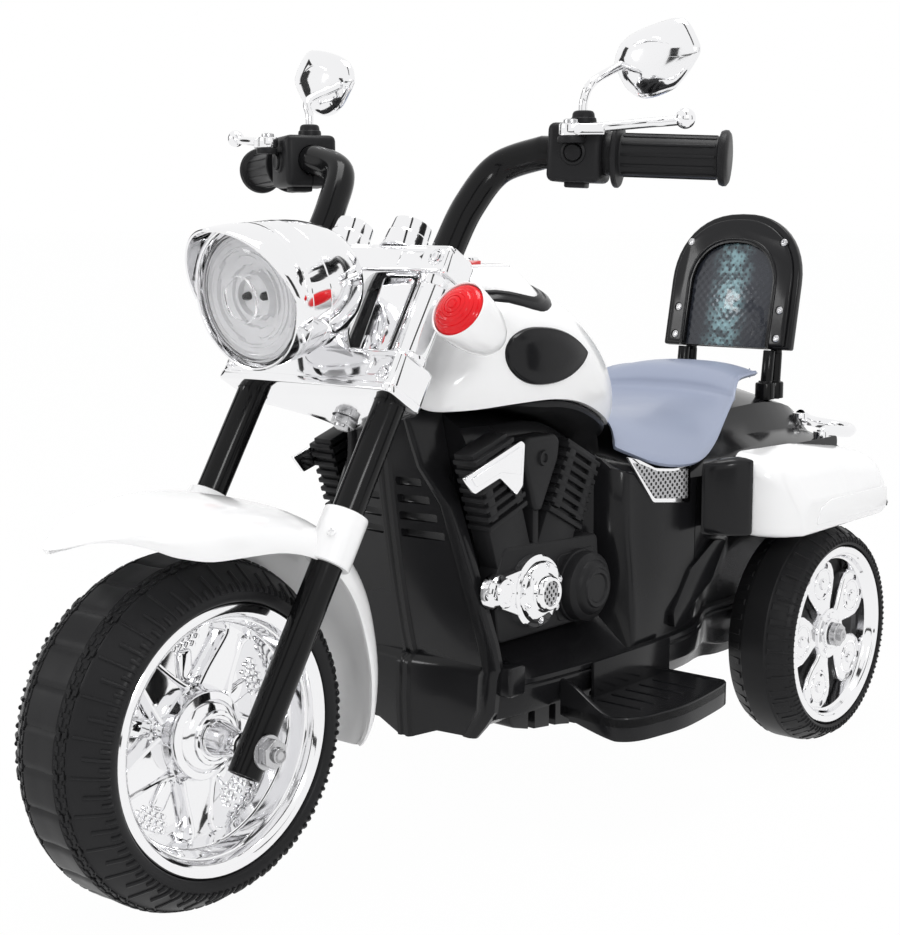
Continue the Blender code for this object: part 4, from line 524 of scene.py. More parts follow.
# The perforated sheet of the side grilles and of the gear cover's face: staggered holes
MESH = Finish("perforated sheet", "chrome", (0.62, 0.62, 0.63), 0.25, 0.9)
_, across, upward = MESH.axes()
hole = (across * 1260).sine() * (upward * 1165).sine() > 0.22
MESH.set("Base Color", MESH.mixed(hole, (0.46, 0.46, 0.47), (0.01, 0.01, 0.01)))
MESH.set("Metallic", 0.9 - hole * 0.9)
MESH.set("Roughness", 0.22 + hole * 0.5)
MESH.bump(1 - hole, 0.5, 0.0008)

# The backrest's inlay: dark film with a painted teal sheen in a wavering band, flecked by the
# film's specks, and rows of small dots
PANEL = Finish("shimmer film", "panel", (0.03, 0.04, 0.05), 0.22, 0.35, Coat_Weight=0.5)
along, _, upward = PANEL.axes()
sway = PANEL.noise(34, 3)
offset = abs(along + 0.002 + sway * 0.012 - upward * 0.05 + 0.013)
# The band is where the teal sheen is painted, with its edges wavering by the noise
band = PANEL.node("ShaderNodeMapRange", {"interpolation_type": "SMOOTHSTEP"},
    {0: offset, 1: 0.024, 2: 0.004, 3: 0.0, 4: 1.0})
dots = (along * 900).sine() * (upward * 800).sine()
speck = PANEL.node("ShaderNodeMapRange", None, {0: PANEL.noise(120, 3), 1: 0.42, 2: 0.62})
# Painted sheen in the band, broken up by the film's own specks
painted_sheen_and_specks = band * (0.15 + speck * 0.85)
PANEL.set("Base Color", PANEL.mixed(painted_sheen_and_specks - (dots > 0.55) * 0.5, (0.022, 0.025, 0.034),
    (0.2, 0.33, 0.36)))
PANEL.set("Roughness", 0.18 + speck * 0.2)
PANEL.bump(dots, 0.15, 0.0006)

FINISH_OF_SLOT = {"white_gloss": WHITE, "black_gloss": BLACK, "black_satin": SATIN, "tyre": TYRE,
    "chrome": CHROME, "seat": SEAT, "red_lens": RED_LENS, "clear_lens": CLEAR, "steel": STEEL,
    "panel": PANEL, "red_plastic": RED, "battery": SATIN}
for subpart in frame["record"]["subparts"]:
    node = frame["nodes"][subpart["node"]]
    node.data.materials.clear()
    node.data.materials.append(FINISH_OF_SLOT[subpart["material_slot"]].material)


def done(piece, finish, body, *nodes, smooth=32):
    """Moves a finished piece into the frame and gives it its finish, body and nodes."""
    settle(piece)
    piece.data.transform(shift(0, DATUM_Y, 0))
    piece.data.materials.clear()
    piece.data.materials.append(finish.material)
    bpy.ops.object.shade_smooth_by_angle(angle=math.radians(smooth))
    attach(piece, body)
    if nodes:
        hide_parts(*nodes)


def done_pair(piece, finish, body, *nodes, smooth=32):
    """Finishes a left piece and its mirror copy. Names ending in _ get their side added."""
    name = piece.name
    copy = twin(piece, MIRROR, name + "_right")
    piece.name = name + "_left"
    for one, side in ((piece, "left"), (copy, "right")):
        sided = [node + side for node in nodes]
        done(one, finish, body + side if body.endswith("_") else body, *sided, smooth=smooth)


def screw(name, at, radius, tall):
    """A round screw head with a cross recess, standing on the Z of its frame."""
    head = turned(name, [(0.0, tall), (radius * 0.7, tall), (radius * 0.95, tall * 0.7),
        (radius, 0.0), (radius, -0.001), (0.0, -0.001)], at, 20)
    for turn in (0, 90):
        slot = block(name + "_slot", (-radius * 0.62, -radius * 0.14, tall * 0.35),
            (radius * 0.62, radius * 0.14, tall * 2), at @ spun(turn + 20))
        cut(head, slot)
    return head


# Camera and stage

CAMERA_AT = Vector((0.8071, -0.9975, 0.4296))
CAMERA_AIM = Vector((-0.025, -0.016, 0.2449))
WORLD_LIGHT = 0.74
# Name, place, side and power
SOFTBOXES = (("overhead", (0.1, 0.1, 2.2), 1.0, 20), ("beside", (2.2, -1.4, 1.3), 0.5, 12),
    ("front_left", (-1.6, -2.2, 1.2), 0.5, 9))
# Dark cards that show only in reflections: name, place, height faced and size
CARDS = (("card_left", (2.6, 0.9, 0.5), 0.3, (0.5, 2.2)),
    ("card_front", (0.5, -3.0, 0.9), 0.3, (0.5, 1.8)),
    ("card_right", (-2.6, -0.6, 0.8), 0.3, (0.9, 2.2)),
    ("card_low", (1.6, -1.6, 0.02), 0.6, (2.4, 0.35)),
    ("card_top", (0.9, -0.8, 2.6), 0.2, (0.35, 2.4)))


def seen_directly(tree):
    """1 for camera rays, mirrored rays and rays through glass."""
    rays = tree.nodes.new("ShaderNodeLightPath")
    seen = rays.outputs["Is Camera Ray"]
    for kind in ("Is Glossy Ray", "Is Transmission Ray"):
        either = tree.nodes.new("ShaderNodeMath")
        either.operation = "MAXIMUM"
        tree.links.new(seen, either.inputs[0])
        tree.links.new(rays.outputs[kind], either.inputs[1])
        seen = either.outputs[0]
    return seen


def shown_as(tree, share, plain, white, end):
    """Mixes what lights the object with the white that is seen directly."""
    mix = tree.nodes.new("ShaderNodeMixShader")
    for source, socket in zip((share, plain, white), mix.inputs):
        tree.links.new(source, socket)
    tree.links.new(mix.outputs[0], tree.nodes[end].inputs["Surface"])


def stage_material(name, colour, seen_white=0.0):
    """A rough stage material, shown more white to the camera and in mirrors if asked."""
    material = bpy.data.materials.new(name)
    material.use_nodes = True
    tree = material.node_tree
    shader = tree.nodes["Principled BSDF"]
    shader.inputs["Base Color"].default_value = (*colour, 1.0)
    shader.inputs["Roughness"].default_value = 0.6
    if seen_white:
        share = tree.nodes.new("ShaderNodeMath")
        share.operation = "MULTIPLY"
        share.inputs[1].default_value = seen_white
        tree.links.new(seen_directly(tree), share.inputs[0])
        shown_as(tree, share.outputs[0], shader.outputs[0],
            tree.nodes.new("ShaderNodeEmission").outputs[0], "Material Output")
    return material


def aimed(thing, spot, aim, forward="-Z"):
    """Puts a camera, a lamp or a card at a spot, facing a point."""
    thing.location = spot
    thing.rotation_euler = (Vector(aim) - Vector(spot)).to_track_quat(forward, "Y").to_euler()
    return thing


def held(name, data, spot, aim):
    """A new camera or lamp, linked and aimed."""
    holder = bpy.data.objects.new(name, data)
    bpy.context.collection.objects.link(holder)
    return aimed(holder, spot, aim)


def stage_plane(name, size, spot, material):
    unpick()
    bpy.ops.mesh.primitive_plane_add(size=size, location=spot)
    plane = bpy.context.object
    plane.name = name
    plane.data.materials.append(material)
    return plane


def studio():
    scene = bpy.context.scene
    scene.view_settings.view_transform = "Standard"
    view = bpy.data.cameras.new("photo_view")
    view.lens = 66.23
    view.sensor_width = 36
    view.shift_x, view.shift_y = 0.0022, 0.001
    scene.camera = held("photo_view", view, CAMERA_AT, CAMERA_AIM)
    floor = stage_plane("floor", 120, (0, 0, -0.0005),
        stage_material("studio floor", (0.9, 0.9, 0.9), 0.985))

    world = bpy.data.worlds.new("studio")
    scene.world = world
    world.use_nodes = True
    tree = world.node_tree
    light = tree.nodes["Background"]
    white = tree.nodes.new("ShaderNodeBackground")
    for shade, strength in ((light, WORLD_LIGHT), (white, 1.0)):
        shade.inputs["Color"].default_value = (1, 1, 1, 1)
        shade.inputs["Strength"].default_value = strength
    shown_as(tree, seen_directly(tree), light.outputs[0], white.outputs[0], "World Output")

    for name, spot, size, power in SOFTBOXES:
        lamp = bpy.data.lights.new(name, "AREA")
        lamp.shape = "SQUARE"
        lamp.size = size
        lamp.energy = power
        held(name, lamp, spot, (0, 0, 0.2))

    card_black = stage_material("black card", (0.01, 0.01, 0.01))
    for name, spot, height, size in CARDS:
        card = aimed(stage_plane(name, 1, spot, card_black), spot, (0, 0, height), "Z")
        card.scale = (*size, 1)
        for ray in ("camera", "shadow", "diffuse", "transmission"):
            setattr(card, "visible_" + ray, False)


studio()


# Front wheel

FRONT_AXLE = Vector((0, 0, WHEEL_R))
FRONT_AT = place(FRONT_AXLE, LEFT, BACK)
SPOKES = 5
HALF_SPOKE = 180 / SPOKES
TREAD_BLOCKS = 84
TREAD_HALF = 0.0224
DIP_DEPTH = 0.0105
DIP_ANGLE = 0.016
FRONT_RIBS = 28


def along_profile(foot, tip, at):
    """The start, the run and the outward direction between two points (radius, height)."""
    start, end = at @ Vector((foot[0], 0, foot[1])), at @ Vector((tip[0], 0, tip[1]))
    return start, end - start, at.col[1].to_3d().cross(end - start)


def rib(name, foot, tip, width, tall, at):
    """A raised rib between two profile points (radius, height) of a turned piece."""
    start, line, normal = along_profile(foot, tip, at)
    return block(name, (0, -width / 2, -0.0012), (line.length, width / 2, tall),
        place(start, normal, line), 0.0004, 1)


def stepped_block(name, foot, tip, long, tall, at, lean=1):
    """A tread block with a step in both of its sides."""
    start, line, normal = along_profile(foot, tip, at)
    wide, half = line.length, long / 2
    step = long * 0.22 * lean
    outline = [(0, -half + step), (wide * 0.48, -half + step), (wide * 0.48, -half - step),
        (wide, -half - step), (wide, half - step), (wide * 0.52, half - step),
        (wide * 0.52, half + step), (0, half + step)]
    normal.normalize()
    at_block = place(start - normal * 0.0016, normal, line)
    return slab(name, outline, at_block, tall + 0.0016, 0.0004, 1)


def flank_ribs(flank, at, count, plan):
    """Ribs down a tyre's flank, from (first point, share of the pitch, radius) of each."""
    ribs = []
    for first, share, radius in plan:
        turn = Matrix.Rotation(2 * math.pi / count * share, 4, "Z")
        route = [at @ turn @ Vector((r, 0, h)) for r, h in flank[first:]]
        ribs.append(pipe("rib", route, radius, 3, 2))
    return ring_of(joined(*ribs), at, count)


def front_tyre():
    carcass = turned("front_tyre", mirrored_loop(mm((86.3, 39.5), (86.8, 41.2), (88, 42.4),
        (90.5, 43.2), (93, 43.4), (95.5, 42.4), (97.5, 40.2), (99, 38), (101, 35), (104, 30.4),
        (106.6, 26.2), (108.2, 23.6), (108.9, 22.6), (109.5, 22.2), (109.2, 21.6), (109.6, 20.8),
        (111, 17.2), (111.7, 14.6), (112.4, 13.8), (112.5, 10), (112.2, 3.4))), FRONT_AT, 336,
        loop=True)
    long = 2 * math.pi * 0.111 / TREAD_BLOCKS * 0.68
    inner = stepped_block("tread", (0.1117, 0.0146), (0.1109, 0.0174), long, 0.0009, FRONT_AT)
    outer = stepped_block("tread", (0.1104, 0.0186), (0.1094, 0.0214), long, 0.0009, FRONT_AT, -1)
    tread = ring_of(joined(inner, outer), FRONT_AT, TREAD_BLOCKS)
    pitch = 2 * math.pi / FRONT_RIBS
    # The tread dips in line with the longest ribs of its flanks
    for vert in carcass.data.vertices:
        spot = FRONT_AT.inverted() @ vert.co
        if abs(spot.z) < TREAD_HALF:
            away = (math.atan2(spot.y, spot.x) + pitch / 2) % pitch - pitch / 2
            dip = 1 - DIP_DEPTH * math.exp(-(away / DIP_ANGLE) ** 2)
            vert.co = FRONT_AT @ Vector((spot.x * dip, spot.y * dip, spot.z))
    flank = mm((107.9, 24.2), (106.6, 26.3), (104, 30.5), (101, 35.1), (98.2, 39.4), (95.5, 42.5),
        (93.6, 43.5))
    ribs = flank_ribs(flank, FRONT_AT, FRONT_RIBS, ((0, 0.0, 0.001), (2, 0.5, 0.0014),
        (4, 0.25, 0.0015), (4, 0.75, 0.0015)))
    done(joined(carcass, both_faces(joined(tread, ribs))), TYRE, "front_wheel", "front_tyre")


def front_rim():
    barrel = turned("front_rim", mirrored_loop(mm((85.8, 39), (85.6, 40), (84.8, 40.6),
        (80.6, 40.6), (79.6, 40.2), (79, 39.4), (77.8, 38.8), (77, 37.6), (76.4, 34), (75.6, 32.6),
        (74.6, 32.2), (74, 30), (72.6, 22), (71.8, 20.6), (71.2, 20), (70.6, 15), (70, 12.8),
        (69.6, 6))), FRONT_AT, 112, loop=True)
    disc = turned("front_disc", mirrored_loop(mm((26.5, 4.5), (33, 4.5), (33.6, 3.8), (70, 3))),
        FRONT_AT, 96, loop=True)
    studs = []
    for reach, count in ((0.0555, 4), (0.06, 5), (0.0645, 5)):
        for k in range(count):
            turn = spun(HALF_SPOKE + (k - (count - 1) / 2) * 5.2)
            foot, tip = [FRONT_AT @ turn @ Vector((reach, 0, h)) for h in (0.002, 0.006)]
            studs.append(cylinder("stud", foot, tip, 0.0021, 10, 0.0008))
    bar = block("window_bar", (0.032, -0.006, -0.006), (0.053, 0.006, 0.0068),
        FRONT_AT @ spun(HALF_SPOKE), 0.003, 3)
    spoke = slab("spoke", mirrored_loop(mm((24, -15), (40, -11.8), (60, -8.6), (65.5, -9),
        (69, -11.8), (70.8, -17))), FRONT_AT @ shift(0, 0, -0.01), 0.02, 0.0016, 3)
    crest = mm((27, 14, 11.8), (40, 11.2, 9.8), (60, 8, 9.8), (66.2, 8.8, 10.4), (69, 12, 11.2),
        (70.4, 18, 11.8))
    ridges = []
    for edge in (1, -1):
        route = [FRONT_AT @ Vector((x, y * edge, z)) for x, y, z in crest]
        ridges.append(pipe("ridge", route, 0.0018, 3, 4))
    arms = ring_of(joined(spoke, bar, both_faces(joined(*ridges, *studs))), FRONT_AT, SPOKES,
        math.radians(57.5))
    hub = turned("front_hub", mirrored_loop(mm((5.6, 30), (6, 30.8), (10.8, 31), (11.4, 30.2),
        (14, 30.2), (14.6, 31), (16.4, 31), (17.2, 30.4), (17.6, 29), (20, 27.8), (22.2, 26.2),
        (23.4, 24.2), (26.2, 23.2), (27.6, 22.6), (28.6, 21), (29, 18), (30, 15), (30.6, 12),
        (31, 6))), FRONT_AT, 72, loop=True)
    done(joined(barrel, disc, arms, hub), CHROME, "front_wheel", "front_rim")


def front_axle():
    """Cone spacers, washers, hex nuts and hollow ends. The legs stand between them."""
    rod = cylinder("front_axle", FRONT_AXLE - LEFT * 0.0868, FRONT_AXLE + LEFT * 0.0868, 0.005, 28,
        0.0006)
    parts = []
    cones = []
    for side in (1, -1):
        at = place(FRONT_AXLE, LEFT * side, BACK)
        cones.append(turned("spacer", mm((4.9, 31.3), (11.8, 31.3), (12.1, 32), (11.8, 33.2),
            (9.2, 44), (7.8, 50), (7.8, 52.6), (7.2, 53.2), (4.9, 53.2)), at, 40, loop=True))
        washer = turned("washer", mm((4.9, 74.8), (10.8, 74.8), (11, 75.1), (10.8, 76.2),
            (4.9, 76.2)), at, 36, loop=True)
        nut = stub("nut", at, 0.0762, 0.0832, 0.0095, 6, 0.0006)
        nose = turned("bolt_end", mm((0, 84.6), (2.2, 84.6), (2.6, 86.8), (4.4, 86.8), (5, 86),
            (5, 83), (0, 83)), at, 28)
        parts += [washer, nut, nose]
    done(joined(*cones), CHROME, "steering")
    done(joined(rod, *parts), STEEL, "steering", "front_axle")


front_tyre()
front_rim()
front_axle()


# Rear wheels

REAR_AXLE = Vector((0, 0.575, 0.091))
REAR_BLOCKS = 46
REAR_RIBS = 26


def rear_wheel():
    at = place(REAR_AXLE + LEFT * 0.126, LEFT, BACK)
    carcass = turned("rear_tyre", mm((74.4, 26.2), (75.2, 28.8), (76.8, 29.6), (80, 29),
        (83.2, 26.2), (84.2, 24), (86.2, 20.8), (89, 15), (90, 11.6), (90.3, 10.6), (90.8, 10),
        (91, 8), (91, -8), (90.8, -10), (90.3, -10.6), (90, -11.6), (86.2, -20.8), (83.2, -26.2),
        (76.8, -29.6), (74.4, -26.2)), at, 100, loop=True)
    outer = rib("tread", (0.09, 0.0124), (0.0838, 0.0244), 0.0052, 0.0006, at)
    inner = rib("tread", (0.0838, -0.0244), (0.09, -0.0124), 0.0052, 0.0006, at)
    treads = ring_of(joined(outer, inner), at, REAR_BLOCKS)
    flank = mm((89, 15), (86.2, 20.9), (84.2, 24.1), (81.5, 27.7), (79.2, 29.3), (77.5, 29.7))
    ribs = flank_ribs(flank, at, REAR_RIBS, ((0, 0.0, 0.0009), (2, 0.5, 0.0009), (3, 0.25, 0.0009),
        (3, 0.75, 0.0009)))
    done_pair(joined(carcass, treads, ribs), TYRE, "rear_wheel_", "rear_tyre_")

    barrel = turned("rear_rim", mirrored_loop(mm((73.8, 26.6), (73.6, 27.6), (72.8, 28.2),
        (69, 28.2), (68.2, 27.8), (67.6, 26.8), (66.4, 26.2), (65.6, 25), (65, 22), (64, 20.6),
        (62.8, 20), (62.2, 15), (61.2, 10), (60.6, 4))), at, 96, loop=True)
    disc = turned("rear_disc", mm((6, 8.5), (61.5, 8.5), (61.5, -2), (6, -2)), at, 84, loop=True)
    outline = mirrored_loop(mm((15, -7), (24, -9.8), (33, -15.8), (42, -20.5), (50, -21.2),
        (57, -18.6), (62.5, -13), (64, -10)))
    petal = slab("petal", outline, at @ shift(0, 0, 0.008), 0.012, 0.003, 4)
    for x, y in mm((34, 0), (57.5, 8.5), (57.5, -8.5)):
        cut(petal, turned("petal_hole", mm((0, 16.5), (2.6, 16.5), (3, 22), (0, 22)),
            at @ shift(x, y, 0), 20))
    turns = [math.radians(t) for t in range(0, 361, 20)]
    ridge = pipe("ridge", [at @ Vector((0.0455 + 0.012 * math.cos(t), 0.013 * math.sin(t), 0.0198))
        for t in turns], 0.0012, 4, 2)
    boss = turned("boss", mm((0, 22.2), (3.4, 22.2), (4.6, 21.4), (5, 20), (0, 20)),
        at @ shift(0.0455, 0, 0), 24)
    arms = ring_of(joined(petal, boss, ridge), at, SPOKES, math.radians(35))
    # A dark satin ring on the chrome disc between the petals: painted shade on the wheel's face
    painted_shade_ring = turned("rear_shade_ring", mm((22, 8.7), (61.2, 8.7), (61.2, 8.2), (22, 8.2)), at, 64,
        loop=True)
    done_pair(painted_shade_ring, SATIN, "rear_wheel_")
    hub = turned("rear_hub", mm((5.6, 23.2), (11.6, 23.6), (12.6, 22.8), (13, 21.2), (17, 20.8),
        (18, 21.6), (19.8, 21.6), (20.8, 20.8), (22, 16), (23, 6), (23, -20), (12, -27),
        (5.6, -27)), at, 64, loop=True)
    foot, tip = [at @ Vector((0.0155, 0, h)) for h in (0.02, 0.0222)]
    pins = ring_of(cylinder("hub_pin", foot, tip, 0.0018, 12), at, SPOKES, 0.45)
    done_pair(joined(barrel, disc, arms, hub, pins), CHROME, "rear_wheel_", "rear_rim_")

    cap = turned("rear_axle_cap", mm((0, 33), (2.6, 33), (4.4, 32.6), (5, 31.8), (5, 30), (8.6, 30),
        (9.4, 29.2), (9.5, 24.6), (0, 24.6)), at, 36)
    done_pair(cap, STEEL, "chassis")


rear_wheel()


# Fork legs, clamps, covers and risers

LEG_X = 0.064
LEG_ROOM_R = 0.0109
COLUMN_V = 0.03
COLUMN_ROOM_R = 0.0096
CLAMP_SCREW_X = 0.07
BAR_X = 0.062
BAR_ROOM_R = 0.0114
ALONG_FORK = place(Vector((0, 0, WHEEL_R)), FORK_UP, LEFT)
LAMP_DIP = math.radians(8.6)
LAMP_AT = place(fork_point(0, -0.0917, 0.2589), (0, -math.cos(LAMP_DIP), -math.sin(LAMP_DIP)))


def at_fork(x, v, w):
    """A frame on the fork with its Z up along the legs and its X to the left."""
    return place(fork_point(x, v, w), FORK_UP, LEFT)


def fork_front(x, v, w):
    """A frame that faces ahead of the fork, with its X to the left."""
    return place(fork_point(x, v, w), -FORK_BACK, LEFT)


def fork_rod(name, x, v, low, high, radius, sides=40, bevel=0.0):
    """A stub along the fork between two heights."""
    return cylinder(name, fork_point(x, v, low), fork_point(x, v, high), radius, sides, bevel)


def fork_leg():
    tube = turned("fork_leg", mm((10.3, -18), (10.5, -17.6), (10.5, 255.5), (9, 255.5), (8.8, -17),
        (9, -18)), at_fork(LEG_X, 0, 0), 40, loop=True)
    done_pair(tube, PAINT, "steering", "fork_leg_")


def clamp_shape(front, half, rear):
    return two_sided([(half, -front), (half, 0.014), *rear])


def hex_screw(name, at, radius, tall=0.0026):
    """A recessed hexagon screw: a round collar, a hexagon and its socket."""
    collar = turned(name, [(radius * 0.92, 0.0006), (radius, -0.0004), (radius * 1.12, -0.001),
        (radius * 1.3, 0.0004), (radius * 1.38, 0.0002), (radius * 1.38, -0.001), (0.0, -0.001),
        (0.0, 0.0006)], at, 28)
    head = stub(name, at, -0.001, tall, radius * 0.82, 6, 0.0005)
    cut(head, stub(name, at, tall * 0.4, tall * 2, radius * 0.34, 6))
    return joined(collar, head)


def lower_clamp():
    outline = rounded(clamp_shape(0.0218, 0.0798, [(0.03, 0.034), (0.018, 0.0488)]), 0.007)
    body = slab("lower_clamp", outline, at_fork(0, 0, 0.2385), 0.0263, 0.003, 4)
    outline = rounded(clamp_shape(0.0224, 0.0802, [(0.03, 0.036), (0.018, 0.0494)]), 0.007)
    lip = slab("lower_lip", outline, at_fork(0, 0, 0.2352), 0.006, 0.0012, 3)
    lower = joined(body, lip)
    for side in (1, -1):
        cut(lower, fork_rod("leg_room", LEG_X * side, 0, 0.22, 0.2565, LEG_ROOM_R))
        cut(lower, block("recess", (LEG_X * side - 0.01, -0.03, 0.2452),
            (LEG_X * side + 0.01, -0.0205, 0.26), ALONG_FORK, 0.002))
    cut(lower, fork_rod("column_room", 0, COLUMN_V, 0.22, 0.3, COLUMN_ROOM_R, 32))
    screws = [hex_screw("clamp_screw", fork_front(CLAMP_SCREW_X * side, -0.0216, 0.247), 0.0042)
        for side in (1, -1)]
    # The flared bracket between the clamp and the headlight
    neck = []
    for w, half_x, front, rear in mm((262, 30, -33, -8), (268, 26, -38, -11), (276, 22.2, -44, -14),
            (286, 20.6, -48, -16), (298, 20, -50, -17)):
        row = rounded([(half_x, front), (half_x, rear), (-half_x, rear), (-half_x, front)],
            0.006, 3)
        neck.append([fork_point(x, v, w) for x, v in row])
    flare = lofted("lamp_bracket", neck)
    cut(flare, turned("lamp_room", mm((0, -96), (18.6, -90), (34.5, -74.6), (44.6, -46.2),
        (47.5, -14), (47.5, 10), (0, 10)), LAMP_AT, 48))
    bolt = hex_screw("bracket_screw", place(fork_point(0.0228, -0.026, 0.27), LEFT, BACK), 0.0036)
    done(joined(lower, *screws, flare, bolt), CHROME, "steering", "lower_clamp")


def upper_clamp():
    outline = rounded(clamp_shape(0.0158, 0.0798, mm((58, 17.8), (34, 29.8), (12, 39.8))), 0.006)
    plate = slab("upper_clamp", outline, at_fork(0, 0, 0.3252), 0.019, 0.0026, 4)
    outline = rounded(clamp_shape(0.0125, 0.077, mm((54, 15), (32, 26.5), (12, 36))), 0.006)
    raised = slab("upper_deck", outline, at_fork(0, 0, 0.342), 0.0054, 0.0016, 3)
    cut(plate, raised, "UNION")
    for side in (1, -1):
        cut(plate, fork_rod("bar_room", BAR_X * side, 0, 0.333, 0.36, BAR_ROOM_R))
        cut(plate, block("edge_recess", (0.048 * side - 0.01, -0.023, 0.3292),
            (0.048 * side + 0.01, -0.015, 0.34), ALONG_FORK, 0.001))
    cut(plate, fork_rod("column_room", 0, COLUMN_V, 0.3, 0.36, COLUMN_ROOM_R, 32))
    parts = [plate]
    for side in (1, -1):
        riser_at = at_fork(0.0268 * side, -0.004, 0.346)
        parts.append(turned("riser", mm((0, 21.3), (4.2, 21.3), (4.4, 20.6), (10.6, 20.6),
            (11.2, 21.4), (12.4, 21.4), (13.4, 20.8), (13.7, 19.6), (14, 12), (14.6, 11.4),
            (15, 10.4), (15.5, 0), (16.5, -1), (0, -1)), riser_at, 56))
        parts.append(stub("riser_hex", riser_at, 0.0205, 0.0234, 0.004, 6, 0.0005))
        parts.append(hex_screw("upper_screw", fork_front(CLAMP_SCREW_X * side, -0.016, 0.336),
            0.0044))
        sleeve = turned("sleeve", mm((0, 265.4), (12, 265.4), (12.6, 266.4), (12.6, 270),
            (12.2, 270.6), (12.2, 319), (12.6, 319.6), (13, 323), (14, 325.4), (0, 325.4)),
            at_fork(LEG_X * side, 0, 0), 48)
        cut(sleeve, block("sleeve_slot", (LEG_X * side - 0.0012, -0.015, 0.274),
            (LEG_X * side + 0.0012, -0.0114, 0.316), ALONG_FORK))
        parts.append(sleeve)
        # Flat covers between the clamps
        outline = rounded([(0.0265 * side, 0.2665), (0.05 * side, 0.2665), (0.05 * side, 0.3245),
            (0.023 * side, 0.3245)], 0.003)
        parts.append(slab("fork_cover", outline, fork_front(0, -0.005, 0), 0.003, 0.0008, 2))
    done(joined(*parts), CHROME, "steering", "upper_clamp")


def steering_column():
    """The raked shaft between the clamps, with a washer and a nut at each end."""
    shaft = fork_rod("steering_column", 0, COLUMN_V, 0.227, 0.3545, 0.006, 32, 0.0012)
    nuts = []
    for low, high, radius, sides in ((0.229, 0.2362, 0.0092, 6), (0.2362, 0.2384, 0.0108, 32),
            (0.3478, 0.349, 0.0116, 32), (0.349, 0.3532, 0.0096, 6)):
        nuts.append(fork_rod("column_nut", 0, COLUMN_V, low, high, radius, sides, 0.0007))
    done(joined(shaft, *nuts), STEEL, "steering", "steering_column")


def headlight():
    shell = turned("headlight_shell", mm((0, -94.8), (9, -94.2), (18, -89), (27, -82), (34, -74.2),
        (39.4, -63), (42.8, -50), (44.4, -41), (45.2, -33), (44.8, -32.6), (44.8, -31.8),
        (45.6, -31.2), (46.4, -20), (46.6, -15), (46.2, -14.6), (46.2, -13.6), (46.9, -13),
        (47, -4), (46.8, -0.8), (46, 0), (45, -0.4), (44.2, -2), (43.4, -6), (43, -6.8),
        (42.4, -10), (41.2, -42), (32, -69), (17, -82), (0, -88)), LAMP_AT, 96)
    rows = []
    for share in (0.0, 0.12, 0.3, 0.5, 0.7, 0.86, 1.0):
        row = []
        for k in range(49):
            aside = 1 - k / 24
            angle = math.radians(90 + 92 * aside)
            swell = 1 - abs(aside) ** 1.2
            reach = -0.01 + (0.025 * swell + 0.01) * share
            radius = 0.0462 + 0.004 * share * (1 - share) + 0.0012 * swell * share
            spot = Vector((radius * math.cos(angle), radius * math.sin(angle), reach))
            row.append(LAMP_AT @ spot)
        rows.append(row)
    peak = soften(walled(skin("headlight_peak", rows), 0.0022, 0.0), 0.0006, 2, 50)
    screws = []
    for angle in (20, 160, 270):
        spot = LAMP_AT @ spun(angle) @ Vector((0.0466, 0, -0.0088))
        screws.append(screw("rim_screw", place(spot, spot - (LAMP_AT @ Vector((0, 0, -0.0088))),
            LAMP_AT.col[2].to_3d()), 0.0022, 0.0008))
    done(joined(shell, peak, *screws), CHROME, "steering", "headlight_shell")

    profile = mm((0, 4.4), (12.6, 4.2), (13.2, 5.2), (15, 5.2), (15.8, 3.6))
    # Rings on the lens, on a shallow dome
    reach = 0.018
    while reach < 0.04:
        height = 0.0042 - 0.0065 * (reach / 0.0425) ** 2
        profile += [(reach, height), (reach + 0.002, height - 0.0005),
            (reach + 0.0032, height - 0.0003)]
        reach += 0.0048
    profile += mm((42.4, -2.6), (42.4, -6.6), (0, -6.6))
    lens = turned("headlight_lens", profile, LAMP_AT, 96)
    done(lens, CLEAR, "steering", "headlight_lens")

    bowl = turned("reflector", mm((0, -14), (11.8, -13.8), (12.4, -10), (14.6, -9.6), (15.2, -15),
        (19.6, -14.6), (20.2, -12.2), (25.6, -11.6), (26.2, -13.4), (31.6, -12.8), (32.2, -10.4),
        (37.2, -9.8), (37.8, -11.2), (40.8, -8.2), (40.8, -18), (0, -23)), LAMP_AT, 96)
    done(bowl, WHITE, "steering")
    lamps = []
    for x in (0.0068, -0.0068):
        at = LAMP_AT @ shift(x, 0.0, -0.015)
        lamps.append(turned("diode", mm((0, 6), (1.8, 5.4), (2.6, 3.6), (2.8, 0), (0, 0)), at, 24))
    done(joined(*lamps), BLACK, "steering")


def signal():
    at = place(fork_point(0.102, -0.013, 0.3), -FORK_BACK, LEFT)
    cup = turned("signal_cup", mm((0, -43.8), (7, -43.4), (10, -42.4), (13.4, -38), (15.8, -33),
        (18, -25), (19.4, -18), (20.2, -8), (20.5, -2), (20.3, -0.4), (19.6, 0), (18.9, -0.4),
        (18.9, -5.8), (15.5, -8.8), (0, -11.8)), at, 64)
    _, y, z = fork_point(0, 0.003, 0.3)
    arm = cylinder("signal_stub", (LEG_X + 0.0129, y, z), (0.092, y, z), 0.006, 28, 0.0008)
    done_pair(joined(cup, arm), WHITE, "steering", "signal_cup_")
    profile = mm((0, 7.5), (2.6, 7.3), (3, 6.6))
    for reach, height in mm((4, 7), (6.6, 6.4), (9.2, 5.4), (11.6, 4), (13.8, 2.2)):
        profile += [(reach, height), (reach + 0.0018, height - 0.0006),
            (reach + 0.0022, height - 0.0012)]
    profile += mm((16.4, 0.8), (17.8, -0.6), (18.4, -2), (18.4, -5.6), (0, -5.6))
    lens = turned("signal_lens", profile, at, 64)
    done_pair(lens, RED_LENS, "steering", "signal_lens_")


fork_leg()
lower_clamp()
upper_clamp()
steering_column()
headlight()
signal()


# Front fender

